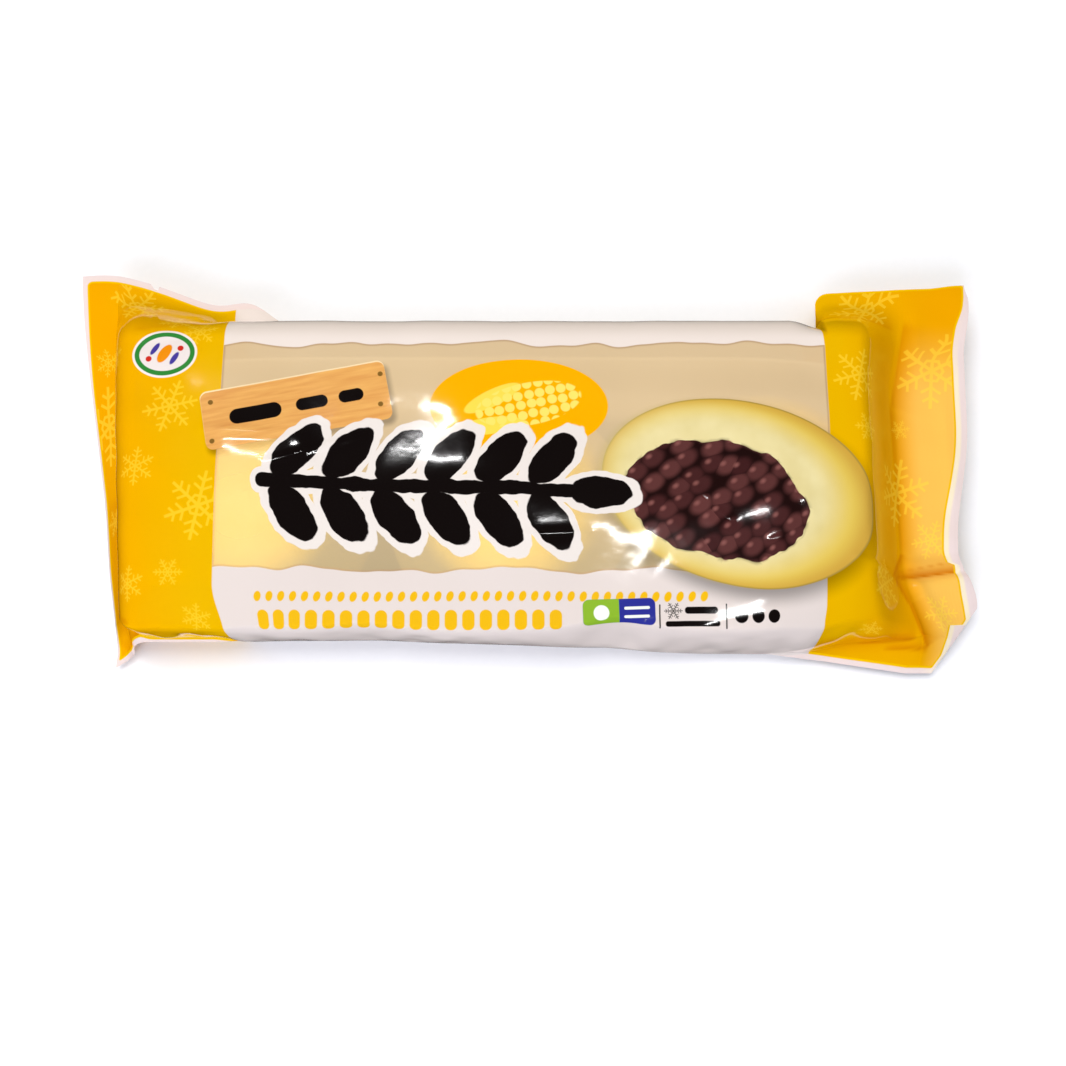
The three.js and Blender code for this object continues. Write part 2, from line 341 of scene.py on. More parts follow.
def strips(X, lines):
    """The y of every strip at every station."""
    near_wall, far_wall, near_edge, far_edge = lines
    run = near_run(X)
    share = np.linspace(0, 1, FLAP_STEPS + 1)[None, :]
    notch = NOTCH_DEPTH * smooth(NOTCH_HALF, NOTCH_HALF - 0.5, np.abs(place_x(X, FAR_EAR_Y) - NOTCH_X))
    along = np.linspace(0, 1, PANEL_STEPS + 1)[None, :]
    start, stop = near_wall + run, far_wall - FAR_RUN
    return np.concatenate([
        (near_edge + (near_wall - near_edge) * share)[:, :-1],
        (near_wall + run * quarter(NEAR_STEPS)[None, :])[:, :-1],
        (start + (stop - start) * along)[:, :-1],
        (far_wall - FAR_RUN * quarter(FAR_STEPS)[None, ::-1])[:, :-1],
        far_wall + (far_edge - far_wall) * share - notch * share ** 8,
    ], axis=1)


print(len(stations()), "stations")

# %% [markdown]
# Folds and ripples
#
# Plastic film that is pulled tight never lies quite flat. It keeps straight, narrow folds where it was
# pinched, and broad shallow ripples between them. They hardly change the form, but a glossy film shows them
# at once, as streaks of light. Each fold is a ridge along a line, so its place and size stay readable.

# %% Folds, in mm
FOLDS = [  # on the panel and the walls: start, end, half width, height
    ((-97, 5), (-69, 3.5), 1.3, 0.42),
    ((-78, -7), (-44, 4), 1.2, 0.4),
    ((-66, 5), (-60, -10), 2.0, 0.25),
    ((-4, -27), (20, -25.5), 1.4, 0.34),
    ((42, -8), (53, -17), 1.2, 0.42),
    ((50, -17), (60, -24), 1.1, 0.36),
    ((66, -29), (84, -24), 0.9, 0.3),
    ((78, -12), (83, -26), 1.6, 0.32),
    ((90, -32), (109, -35), 1.1, 0.7),
    ((-117, 30), (-88, 36), 3.0, -0.5),
    ((-118, -44), (-92, -38), 3.2, -0.4),
    ((20, -56), (52, -42), 4.0, -0.75),
    ((40, -55), (78, -47), 4.5, 0.5),
]

FIN_FOLDS = [  # on the fins, where both sheets move together
    ((103, -36), (138, -30.6), 1.0, -1.4),
    ((105, -32), (138, -26.5), 2.4, 0.9),
    ((106, -39), (136, -34), 2.4, 0.8),
    ((108, -33), (121, -57), 1.6, -0.9),
    ((112, -31), (126, -52), 2.2, 0.7),
    ((112, 50), (111, -30), 2.4, -0.7),
    ((118, 54), (122, 20), 3.0, 0.35),
    ((127, 30), (128, -20), 2.5, 0.3),
    ((-121, 56), (-119, 20), 1.4, -0.35),
]
print(len(FOLDS), "folds on the body, the highest", max(f[3] for f in FOLDS), "mm")


# %% Ridges and waves
def beside(x, y, start, end):
    """Where points lie from a line: the share of its length, and the distance to its right in mm."""
    run = np.subtract(end, start)
    length = math.hypot(*run)
    along = ((x - start[0]) * run[0] + (y - start[1]) * run[1]) / length ** 2
    return along, ((x - start[0]) * run[1] - (y - start[1]) * run[0]) / length


def fold(x, y, start, end, width, height):
    """A straight ridge that fades out towards both of its ends; a negative height makes a valley."""
    along, across = beside(x, y, start, end)
    return height * smooth(0, 0.3, along) * smooth(1, 0.7, along) * np.exp(-np.abs(across / width) ** 1.6)


def ripples(x, y, size, seed):
    """Smooth random waves of about the given length, from -1 to 1."""
    draw = np.random.default_rng(seed)
    total = 0
    for k in range(8):
        turn = draw.uniform(0, math.pi)
        pace = 2 * math.pi / (size * draw.uniform(0.7, 1.6))
        shift = draw.uniform(0, 2 * math.pi)
        total = total + np.sin(pace * (x * math.cos(turn) + y * math.sin(turn)) + shift)
    return total / 4


print("1 mm beside a fold 2 mm wide and 1 mm high the film stands",
      round(float(fold(5, 1, (0, 0), (10, 0), 1, 1)), 2), "mm out")


# %% Relief of the body and the flaps
def relief(x, y, z, plan, rise):
    """How far the film stands out from its plain form. plan is 1 on the panel and 0 at its edge, and rise is
    the height above the line where both sheets meet."""
    body = 0.16 * ripples(x, y, 34, 3) + 0.05 * ripples(x, y, 13, 4)
    for start, end, width, height in FOLDS:
        body = body + fold(x, y, start, end, width, height)
    gathers = 0.3 * ripples(x, 0.25 * z, 9, 5) * smooth(-46, -54, y) * smooth(31, 26, z) * smooth(6, 14, z)
    tuck = 1.0 * hill(z - 13, 1.6) * smooth(-46, -54, y) * smooth(-84, -94, x)
    ends = 0.3 * ripples(0.3 * x, y, 15, 6) * (smooth(-96, -112, x) + smooth(88, 102, x))
    return (body + ends * plan) * smooth(0, 0.5, plan) + (gathers + tuck) * smooth(0.3, 4, rise)


def sag(x, y):
    """How the loose flaps wave up and down, front and back film together."""
    waves = 0.3 * ripples(x, y, 40, 7) + 0.1 * ripples(x, y, 14, 8)
    return waves + sum(fold(x, y, *each) for each in FIN_FOLDS)


print("the right fin waves by", round(float(sag(128.0, 0.0)), 2), "mm at its middle")

# %% Painted shade along the folds
# Painted shade: each line darkens the ink beside a fold, where the fold's shade falls.
CREASE_SHADES = [  # start, end, width of the shade and its depth; the shade lies to the right of the way there
    ((107.4, -35.0), (111.4, -27), 1.6, 0.8),
    ((111.2, -29), (110, 20), 2.6, 0.5),
    ((110, 16), (116.5, 46), 4.0, 0.5),
    ((130, -31.6), (107.6, -35.3), 2.2, 1.0),
    ((107.6, -33.6), (129, -28.8), 0.5, 0.6),
    ((118.8, -54.4), (115.9, -50), 2.0, 0.9),
    ((116.4, -51), (112.6, -41.5), 2.4, 0.75),
    ((112.9, -42.5), (107.6, -34.4), 2.2, 0.75),
    ((119.2, -54.9), (106, -54.6), 1.1, 0.8),
    ((115, -52.4), (97, -53.2), 1.8, 0.8),
    ((-117.4, -54), (-121.6, 0), 3.2, 0.5),
    ((-121.6, 0), (-125.3, 48), 3.2, 0.5),
    ((-121.4, -8), (-117.6, -53), 4.5, 0.55),
    ((-117.6, -56.5), (-117, -50.5), 3.0, 0.8),
    ((-92, 41), (-116, 36), 3.0, 0.22),
    ((-116, -52.2), (-58, -53.2), 3.0, 0.35),
    ((-111.6, -50.6), (-117.2, -56.8), 3.5, 0.9),
    ((82, -54), (114, -51.4), 2.6, 0.6),
    ((113, 42.5), (86, 43.5), 3.0, 0.3),
]


def painted_crease_shade(x, y):
    """Painted shade where the film is folded, which darkens its ink: 1 at the middle of a hard crease."""
    depth = 0
    for start, end, width, full in CREASE_SHADES:
        along, across = beside(x, y, start, end)
        shade = np.where(across > 0, np.exp(-across / width), np.exp(-((across / 0.5) ** 2)))
        depth = np.maximum(depth, full * shade * smooth(-0.02, 0.1, along) * smooth(1.02, 0.9, along))
    return depth


print(len(CREASE_SHADES), "creases, the widest", max(c[2] for c in CREASE_SHADES), "mm")

# %% [markdown]
# Where the print falls
#
# The print was laid on flat film, so its pattern has to follow the film and not the room. Every point keeps
# two lengths measured along the film: u along the pack and down its ends, v across it and down its walls. It
# also keeps how far inside the inked area it lies, because a strip along the cut edges has no ink.

# %% Film coordinates
def pulled_in(x, y):
    """How far the film was drawn along the pack when its corners were gathered."""
    left = smooth(-60, -86, x) * stepped([(38, 48, -1.2), (-40, -57, 4.2)], y)
    right = stepped([(30, 36, 0.4), (38, 43, 2.3), (10, -40, 2.5), (-46, -51, 0.5)], y)
    right = smooth(60, 86, x) * right
    return left - right


def inked(x, y, lines):
    """Distance in mm inside the inked area. Below 0 the film is bare."""
    near_wall, _, near_edge, far_edge = lines
    left = x - (left_root(y) - left_reach(y)) - 0.7 - 0.9 * smooth(20, 58, y)
    right = right_end(y) - x + stepped([(59, 52, -1.7), (53, 43, -1.8), (5, -26, -0.9)], y)
    folded = np.where(y < -47.4, 125.7 + 0.25 * (y + 48.7), 127.4 - 0.24 * (y + 29.6))
    right = np.where(y < -29.6, np.minimum(folded, right_end(y) - 1) - x, right)
    near = y - near_edge - 1.4 * smooth(0.3, 2, near_wall - near_edge)
    near = near + 40 * (smooth(-86, -80, x) * smooth(64, 56, x))
    far = far_edge - y - 2.1 * smooth(-78, -88, x) + 4 * smooth(-84, -40, x) * smooth(89, 85, x)
    return np.minimum(np.minimum(left, right), np.minimum(near, far))


print("gathering drew the near left corner in by", round(float(pulled_in(-100.0, -57.0)), 1), "mm")


# %% Lengths along the film
def film_lengths(points, start):
    """Arc length across the pack at each station, which is 0 where start, the y in the plan, is 0."""
    steps = np.linalg.norm(np.diff(points, axis=1), axis=2)
    run = np.concatenate([np.zeros((len(points), 1)), np.cumsum(steps, axis=1)], axis=1)
    middle = np.argmin(np.abs(start), axis=1)
    rows = np.arange(len(points))
    return run - (run[rows, middle] - start[rows, middle])[:, None]


def end_lengths(points, X):
    """The length that the film gains on its way down both ends, counted from the edge of the panel."""
    step = np.diff(points, axis=0)
    gain = np.hypot(step[..., 0], step[..., 2]) - np.abs(step[..., 0])
    middle = (X[1:] + X[:-1]) / 2
    none = np.zeros((1, points.shape[1]))
    right = np.concatenate([none, np.cumsum(np.where(middle > 90, gain, 0), axis=0)])
    left = np.concatenate([none, np.cumsum(np.where(middle < -90, gain, 0)[::-1], axis=0)])[::-1]
    return right - left


# %% Build both sheets
RIM_GAP = 0.01      # so that the two sheets never lie in one plane, also where they are sealed


def sheet(front):
    """Points of one sheet in the solid's own frame, its film coordinates, zones and the painted shade of its
    folds. The zones are shares of being on the left fin, on the pale right fin, and on a bun, which is
    filled in later."""
    X = stations()[:, None]
    lines = plan_lines(X)
    Y = strips(X, lines)
    x = place_x(X, Y)
    outside = smooth(2, 9, np.maximum(lines[0] - Y, Y - lines[1]))
    fins = smooth(0, 6, np.maximum(left_root(Y) - x, x - right_root(Y)))
    meet = meet_height(X, Y, lines) + sag(x, Y) * np.maximum(outside, fins)
    rim = np.minimum(np.minimum(X - LEFT_END, RIGHT_END - X), np.minimum(Y - Y[:, :1], Y[:, -1:] - Y))
    gap = RIM_GAP + FILM_GAP / 2 * smooth(0, 2, rim)
    if front:
        plan = softened(X, Y, lines)
        low = meet + gap
        z = low + (panel_height(x, Y) - low) * plan
    else:
        plan = plateau(X, Y, lines, BASE_RUN, BASE_RUN)
        groove = SEAM_ROOM * smooth(SEAM_HALF + 2, SEAM_HALF, np.abs(Y - SEAM_Y))
        z = (meet - gap) * (1 - plan) + groove * smooth(0.8, 1, plan)
    lean = near_lean(x) * smooth(lines[0] + LEAN_REACH, lines[0], Y)
    y = Y + lean * clamp(1 - z / WALL_FULL)
    points = np.stack([x + 0 * y, y, z], axis=2)
    if front:
        points = points + normals(points) * relief(x, Y, z, plan, z - meet)[..., None]
    u = x - pulled_in(x, Y) + end_lengths(points, X)
    v = film_lengths(points, Y)
    pale = smooth(0, 9, x - right_root(Y)) * smooth(46, 20, Y)
    zone = np.stack([smooth(2, 5, left_root(Y) - x), pale, 0 * Y], axis=2)
    on_wall = smooth(14, 24, z) * smooth(-50, -52, Y)
    return points, np.stack([u, v, inked(x, Y, lines)], axis=2), zone, painted_crease_shade(x, Y) * (1 - on_wall)


def normals(points):
    """Unit normals of a grid of points, pointing up on the panel."""
    along = np.gradient(points, axis=0)
    across = np.gradient(points, axis=1)
    out = np.cross(along, across)
    return out / np.maximum(np.linalg.norm(out, axis=2, keepdims=True), 1e-9)


front_points, front_film, front_zone, shaded_creases = sheet(True)
back_points, back_film, back_zone, _ = sheet(False)
low = np.minimum(front_points.min((0, 1)), back_points.min((0, 1)))
high = np.maximum(front_points.max((0, 1)), back_points.max((0, 1)))
centre = (pack_low + pack_high) / 2 / MM
shift = np.array([centre[0] - (low[0] + high[0]) / 2, centre[1] - (low[1] + high[1]) / 2, 0])
print("the film is", (high - low).round(1), "mm and moves by", shift.round(2), "mm to fit the frame")

# %% [markdown]
# The buns
#
# A steamed bun is a soft dome: it rises from a flat foot, bellies out a little above it, and closes in a
# smooth top. It could be sculpted, but a turned profile with slow noise gives the same, and no two come out
# alike. The buns are made before the film's mesh, because the film is hazy with frost where it stands off
# them and clear where it touches them, so it needs to know how near they are.

# %% Bun shape
BUN_RADIUS, BUN_HEIGHT, BUN_FOOT = 36.0, 35.6, 1.0
BUN_ROUND, BELLY = 2.2, 0.32      # 2 would make the dome a half ellipse; the belly stands at a third
BUN_NAMES = ["bun_left", "bun_middle", "bun_right"]
BUN_LINE_Y = -14.0      # the buns lie against the near wall
FOOT_TUCK, FOOT_CURVE = 1.5, 2.2        # the foot draws in below the belly, to 0.88 of its width


def bun_centre(k):
    """The middle of the foot of bun k, in the frame."""
    return np.array([BUN_X + (k - 1) * BUN_PITCH, BUN_LINE_Y, 0]) + shift


def bun_top(x, y):
    """Height of the highest bun above each point of the plan."""
    top = 0
    for k in range(3):
        cx, cy, _ = bun_centre(k)
        r = np.hypot(x - cx, y - cy) / BUN_RADIUS
        dome = BUN_FOOT + BUN_HEIGHT * (BELLY + (1 - BELLY) * np.sqrt(clamp(1 - r ** BUN_ROUND)))
        top = np.maximum(top, np.where(r < 1, dome, 0))
    return top


def bun_mesh(k):
    """A turned dome with an uneven skin."""
    rings, sides = 84, 168
    lift = np.linspace(-BELLY, 1, rings)[:, None]
    turn = np.linspace(0, 2 * math.pi, sides, endpoint=False)[None, :]
    foot = 1 - FOOT_TUCK * clamp(-lift) ** FOOT_CURVE
    radius = np.where(lift < 0, foot, clamp(1 - lift ** 2) ** (1 / BUN_ROUND))
    height = BELLY + np.where(lift < 0, lift, (1 - BELLY) * lift)
    waver = 1 + 0.012 * np.sin(2 * turn + k) + 0.008 * np.sin(3 * turn + 2 * k)
    x = BUN_RADIUS * radius * waver * np.cos(turn)
    y = BUN_RADIUS * radius * waver * np.sin(turn)
    z = BUN_FOOT + BUN_HEIGHT * height + 0 * turn
    z = z + 0.25 * ripples(x, y, 22, 20 + k) * smooth(0.1, 0.5, lift)
    return np.stack([x, y, np.maximum(z, BUN_FOOT)], axis=2) + bun_centre(k)


print("bun tops stand at", BUN_FOOT + BUN_HEIGHT, "mm")


# %% Meshes from grids
def grid_object(name, points, closed=False, flip=False, collapse_ends=False):
    """A smooth mesh object from a grid of points in mm. closed joins the last strip to the first."""
    rows, columns = points.shape[:2]
    index = np.arange(rows * columns).reshape(rows, columns)
    right = np.roll(index, -1, axis=1) if closed else index[:, 1:]
    here = index if closed else index[:, :-1]
    quads = np.stack([here[:-1], here[1:], right[1:], right[:-1]], axis=2).reshape(-1, 4)
    faces = [q[::-1] if flip else q for q in quads.tolist()]
    if collapse_ends:
        faces.append(index[0].tolist())
        faces.append(index[-1].tolist()[::-1])
    mesh = bpy.data.meshes.new(name)
    mesh.from_pydata((points.reshape(-1, 3) * MM).tolist(), [], faces)
    mesh.validate()
    mesh.shade_smooth()
    piece = bpy.data.objects.new(name, mesh)
    bpy.context.collection.objects.link(piece)
    return piece


def keep_vectors(piece, name, values):
    """Stores one vector at every point of a mesh, for its material to read."""
    layer = piece.data.attributes.new(name, "FLOAT_VECTOR", "POINT")
    layer.data.foreach_set("vector", values.reshape(-1).astype(np.float32))


def weld(piece):
    """Joins points that fall together, as where a flap has no width."""
    work = bmesh.new()
    work.from_mesh(piece.data)
    bmesh.ops.remove_doubles(work, verts=work.verts, dist=0.002 * MM)
    work.to_mesh(piece.data)
    work.free()


# %% Bun meshes
buns = [grid_object(name, bun_mesh(k), closed=True, collapse_ends=True) for k, name in enumerate(BUN_NAMES)]
print("each bun has", len(buns[0].data.polygons), "faces")

# %% Film meshes
TOUCHING, APART = 0.6, 8.5      # mm between film and bun: clear up to the one, hazy from the other
front_points = front_points + shift
back_points = back_points + shift
front_film[..., 0] += shift[0]
gap = front_points[..., 2] - bun_top(front_points[..., 0], front_points[..., 1])
front_zone[..., 2] = smooth(APART, TOUCHING, gap)
film_front = grid_object("film_front", front_points)
film_back = grid_object("film_back", back_points, flip=True)
for piece, film, zone in ((film_front, front_film, front_zone), (film_back, back_film, back_zone)):
    keep_vectors(piece, "film", film)
    keep_vectors(piece, "zone", zone)
    # the painted shade of the folds rides on the mesh for the film's material
    keep_vectors(piece, "fold_shade", np.stack([shaded_creases] * 3, axis=2))
    weld(piece)
print("front film", len(film_front.data.polygons), "quads, nearest to a bun", gap.min().round(2), "mm")

# %% [markdown]
# Printing the film
#
# The print could be painted as a picture, but here it is drawn by shader nodes, which stay sharp at any
# distance. Each shape is worked out from the film coordinates as a distance in millimetres, which is below 0
# inside the shape. Then a loop lays one ink after another over what is there, as a press does.

# %% Shapes as distances
EDGE = 0.12     # half the blur at the edge of a printed shape, in mm


def placed(tree, at, middle, tilt=0.0, half=(1, 1)):
    """Coordinates measured from the middle of a shape, in its own half sizes, tilted by so many degrees.
    The third coordinate is always 1, so that one dot product both turns and moves."""
    cosine, sine = math.cos(math.radians(tilt)), math.sin(math.radians(tilt))
    dots = []
    for row, size in (((cosine, sine), half[0]), ((-sine, cosine), half[1])):
        start = -(row[0] * middle[0] + row[1] * middle[1])
        line = (row[0] / size, row[1] / size, start / size)
        dots.append(add(tree, "ShaderNodeVectorMath", [at, line], operation="DOT_PRODUCT"))
    return add(tree, "ShaderNodeCombineXYZ", {"X": dots[0], "Y": dots[1], "Z": 1.0})


def distance_from_middle(tree, here):
    """How far points lie from 0, 0."""
    return add(tree, "ShaderNodeVectorMath", [here, (0, 0, 1)], operation="DISTANCE")


def oval(tree, at, middle, half, tilt=0.0):
    """An ellipse, from its two half sizes."""
    reach = distance_from_middle(tree, placed(tree, at, middle, tilt, half))
    return add(tree, "ShaderNodeMath", [reach, min(half), -min(half)], operation="MULTIPLY_ADD")


def bar(tree, at, middle, half, tilt=0.0, corner=0.5):
    """A rectangle with rounded corners."""
    core = (half[0] - corner, half[1] - corner, 1)
    folded = add(tree, "ShaderNodeVectorMath", [placed(tree, at, middle, tilt)], operation="ABSOLUTE")
    over = add(tree, "ShaderNodeVectorMath", [folded, core], operation="SUBTRACT")
    over = add(tree, "ShaderNodeVectorMath", [over, (0, 0, 0)], operation="MAXIMUM")
    reach = add(tree, "ShaderNodeVectorMath", [over], operation="LENGTH")
    return add(tree, "ShaderNodeMath", [reach, corner], operation="SUBTRACT")


print("printed edges blur over", 2 * EDGE, "mm")


# %% Joining shapes and laying inks
def joined(tree, *shapes):
    """One shape that covers them all."""
    total = shapes[0]
    for shape in shapes[1:]:
        total = add(tree, "ShaderNodeMath", [total, shape], operation="MINIMUM")
    return total


def overlap(tree, *shapes):
    """Only where all the shapes lie over each other."""
    total = shapes[0]
    for shape in shapes[1:]:
        total = add(tree, "ShaderNodeMath", [total, shape], operation="MAXIMUM")
    return total


def printed(tree, colour, layers):
    """Lays inks over a colour. A layer is a shape, its ink and perhaps the softness of its edge in mm. A
    number in place of the ink darkens what is there to that share, as a printed shadow does."""
    for shape, ink, *soft in layers:
        blur = soft[0] if soft else EDGE
        cover = 1.0
        if isinstance(ink, float):
            cover, ink = 1 - ink, (0, 0, 0, 1)
        mask = add(tree, "ShaderNodeMapRange", {
            "Value": shape, "From Min": -blur, "From Max": blur, "To Min": cover, "To Max": 0.0,
        }, interpolation_type="SMOOTHSTEP")
        colour = add(tree, "ShaderNodeMix", {"Factor": mask, "A": colour, "B": ink}, data_type="RGBA")
    return colour


# %% [markdown]
# Snowflakes
#
# Packs of frozen food are often sprinkled with snowflakes, a common ornament. Here half an arm is drawn, and
# the angle round the middle is folded so that it comes twelve times. It is a node group, which both the ends
# and the small print use.

# %% One snowflake as a node group
ARM_HALF, TWIG_HALF, RING_REACH = 0.045, 0.036, 0.26        # as shares of the flake's radius
TWIGS = ((0.44, 0.3), (0.7, 0.24))      # where each pair leaves the arm, and its length


def snowflake_group():
    """The distance to a snowflake of radius 1, for coordinates made by placed()."""
    tree = bpy.data.node_groups.new("snowflake", "ShaderNodeTree")
    tree.interface.new_socket("Vector", in_out="INPUT", socket_type="NodeSocketVector")
    tree.interface.new_socket("Distance", in_out="OUTPUT", socket_type="NodeSocketFloat")
    given = add(tree, "NodeGroupInput")
    parts = add(tree, "ShaderNodeSeparateXYZ", [given])
    reach = distance_from_middle(tree, given)
    turn = add(tree, "ShaderNodeMath", [parts.outputs["Y"], parts.outputs["X"]], operation="ARCTAN2")
    turn = add(tree, "ShaderNodeMath", [turn, math.pi / 6], operation="PINGPONG")
    along, across = [
        add(tree, "ShaderNodeMath", [
            reach, add(tree, "ShaderNodeMath", [turn], operation=share),
        ], operation="MULTIPLY") for share in ("COSINE", "SINE")
    ]
    past_side = add(tree, "ShaderNodeMath", [across, ARM_HALF], operation="SUBTRACT")
    past_tip = add(tree, "ShaderNodeMath", [along, 1.0], operation="SUBTRACT")
    ring = add(tree, "ShaderNodeMath", [along, RING_REACH], operation="SUBTRACT")
    ring = add(tree, "ShaderNodeMath", [ring], operation="ABSOLUTE")
    ring = add(tree, "ShaderNodeMath", [ring, TWIG_HALF], operation="SUBTRACT")
    lines = [overlap(tree, past_side, past_tip), ring]
    for start, length in TWIGS:
        ahead = add(tree, "ShaderNodeMath", [along, start], operation="SUBTRACT")
        side = add(tree, "ShaderNodeMath", [ahead, math.sqrt(3)], operation="MULTIPLY")
        side = add(tree, "ShaderNodeMath", [side, across], operation="SUBTRACT")
        side = add(tree, "ShaderNodeMath", [side], operation="ABSOLUTE")
        side = add(tree, "ShaderNodeMath", [side, 0.5, -TWIG_HALF], operation="MULTIPLY_ADD")
        out = add(tree, "ShaderNodeMath", [across, math.sqrt(3), ahead], operation="MULTIPLY_ADD")
        out = add(tree, "ShaderNodeMath", [out, 0.5, -length], operation="MULTIPLY_ADD")
        lines.append(overlap(tree, side, out))
    add(tree, "NodeGroupOutput", [joined(tree, *lines)])
    return tree


SNOWFLAKE = snowflake_group()
print("a snowflake takes", len(SNOWFLAKE.nodes), "nodes")

# %% Sprinkled snowflakes
FLAKES = [  # u, v, radius, turn in degrees
    (-117, 55, 9.5, 8), (-140, 33, 4.6, 20), (-103, 43, 5.5, 24), (-141, 13, 12.5, 30),
    (-102, 12, 8.2, 12), (-111, -6, 5.8, 25), (-92, -18, 10.2, 18), (-139, -17, 4.6, 5),
    (-100, -37, 4.2, 0), (-112, -40, 5.2, 22), (-94, -50, 4.4, 14), (-95, 36, 5.5, 15),
    (-124, 30, 5.0, 10), (-126, -32, 5.5, 27),
    (134, 30, 12.0, 28), (107, 54, 11.5, 4), (98, 22, 8.4, 16), (100, 6, 4.6, 0),
    (124, 11, 3.2, 10), (123, -9, 10.8, 20), (134, -23, 6.2, 12), (111, -39, 7.8, 26),
    (133, -47, 6.2, 3), (103, -56, 4.0, 18),
]


def sprinkled(tree, at, chosen):
    """Snowflakes as one shape. A point is first moved into the flake it lies in, so one drawing serves."""
    local, size = (3, 0, 1), 1.0
    for x, y, radius, turn in chosen:
        here = placed(tree, at, (x, y), turn, (radius, radius))
        reach = distance_from_middle(tree, here)
        within = add(tree, "ShaderNodeMath", [reach, 1.05], operation="LESS_THAN")
        local = add(tree, "ShaderNodeMix", {"Factor": within, "A": local, "B": here}, data_type="VECTOR")
        size = add(tree, "ShaderNodeMix", {"Factor": within, "A": size, "B": radius}, data_type="FLOAT")
    drawn = add(tree, "ShaderNodeGroup", {"Vector": local}, node_tree=SNOWFLAKE)
    return add(tree, "ShaderNodeMath", [drawn, size], operation="MULTIPLY")


radii = [flake[2] for flake in FLAKES]
print(len(FLAKES), "snowflakes, from", min(radii), "to", max(radii), "mm in radius")

# %% [markdown]
# The motifs
#
# The middle of the pack carries motifs of this notebook's own: a wooden tag, a bold sprig of grain in brush
# strokes with a white border, an ear of corn on an orange oval, and red beans heaped on a cream oval. Small
# ticks, kernels, bars and dots run along the near side. Cell patterns give the beans and the kernels.

# %% A sprig of grain in brush strokes
BLACK = "#100b0a"
LEAF_PITCH = 29.2       # one leaf is drawn, and its coordinates start again at every second pair of leaves


def sprig(tree, at, swell):
    """Paired leaves along a stem. swell makes it larger all round, in mm."""
    here = placed(tree, at, (-22, -12.5), -2)
    parts = add(tree, "ShaderNodeSeparateXYZ", [here])
    along = parts.outputs["X"]
    away = add(tree, "ShaderNodeMath", [parts.outputs["Y"]], operation="ABSOLUTE")
    leaves = []
    for first, last in ((-1.5, 0.5), (-1.0, 1.0)):
        cell = add(tree, "ShaderNodeMath", [along, 1 / LEAF_PITCH, -first], operation="MULTIPLY_ADD")
        cell = add(tree, "ShaderNodeMath", [cell], operation="ROUND")
        cell = add(tree, "ShaderNodeClamp", {"Value": cell, "Min": 0.0, "Max": last - first})
        within = add(tree, "ShaderNodeMath", [cell, -LEAF_PITCH, along], operation="MULTIPLY_ADD")
        leaf_at = add(tree, "ShaderNodeCombineXYZ", {"X": within, "Y": away, "Z": 1.0})
        leaves.append(oval(tree, leaf_at, (0.8 + LEAF_PITCH * first, 9.0), (9.6, 4.9), 52))
    tip = oval(tree, here, (44, 0), (9.0, 4.6))
    stem = bar(tree, here, (-7, 0), (47, 2.0), 0, 1.9)
    plain = joined(tree, *leaves, tip, stem)
    plain = add(tree, "ShaderNodeMath", [plain, 0.9 + swell], operation="SUBTRACT")
    bristles = add(tree, "ShaderNodeTexNoise", {"Vector": at, "Scale": 1 / 4.5, "Detail": 1.5})
    return add(tree, "ShaderNodeMath", [bristles, 1.8, plain], operation="MULTIPLY_ADD")


print("the leaves stand", LEAF_PITCH / 2, "mm apart")


# %% Red beans heaped on a cream oval
DISH_MIDDLE, DISH_HALF, DISH_TILT = (62.3, -14.0), (40.6, 27.0), -15
BEAN = 4.6      # width of one bean in mm


def bean_layers(tree, at, dish):
    """The dish with its shadow and rounded rim, then the heap, its gaps and the glint on every bean."""
    middle, half, tilt = DISH_MIDDLE, DISH_HALF, DISH_TILT
    wobble = add(tree, "ShaderNodeTexNoise", {"Vector": at, "Scale": 1 / 9.0, "Detail": 2.0})
    heap = oval(tree, at, (55.8, -16.3), (27.5, 17.0), tilt)
    heap = add(tree, "ShaderNodeMath", [wobble, 6.0, heap], operation="MULTIPLY_ADD")
    heap = add(tree, "ShaderNodeMath", [heap, 2.7], operation="SUBTRACT")
    crumb = add(tree, "ShaderNodeMix", {"Factor": wobble, "A": "#e6d8a2", "B": "#cfbd7e"}, data_type="RGBA")
    lying = placed(tree, at, (0, 0), 35, (1.45, 1.0))
    glint = add(tree, "ShaderNodeVectorMath", [lying, (0.5, -1.1, 0)], operation="ADD")
    near, lit = [
        add(tree, "ShaderNodeTexVoronoi", {
            "Vector": place, "Scale": 1 / BEAN, "Randomness": 0.7,
        }, voronoi_dimensions="2D") for place in (lying, glint)
    ]
    shade = add(tree, "ShaderNodeSeparateColor", [near.outputs["Color"]])
    skin = add(tree, "ShaderNodeMix", {"Factor": shade, "A": "#381a1a", "B": "#5c3330"}, data_type="RGBA")
    outside = add(tree, "ShaderNodeMath", [near, BEAN, -0.5 * BEAN], operation="MULTIPLY_ADD")
    outside = add(tree, "ShaderNodeMath", [outside, -1.0], operation="MULTIPLY")
    shine = add(tree, "ShaderNodeMath", [lit, BEAN, -0.12 * BEAN], operation="MULTIPLY_ADD")
    return [
        (oval(tree, at, (62.6, -16.6), (41.0, 27.6), tilt), 0.42, 3.2),
        (dish, "#9a8038"),
        (oval(tree, at, middle, (half[0] - 0.4, half[1] - 0.4), tilt), "#c49a3c", 0.3),
        (oval(tree, at, (60.6, -13.8), (37.5, 25.4), tilt), "#d6b850", 2.4),
        (oval(tree, at, (57.5, -13.2), (33.5, 22.5), tilt), crumb, 4.0),
        (heap, skin),
        (overlap(tree, heap, outside), "#1c0c0b", 0.9),
        (overlap(tree, heap, shine), "#7d4c46", 0.5),
    ]


print("the dish is", 2 * DISH_HALF[0], "mm long and a bean", BEAN, "mm wide")


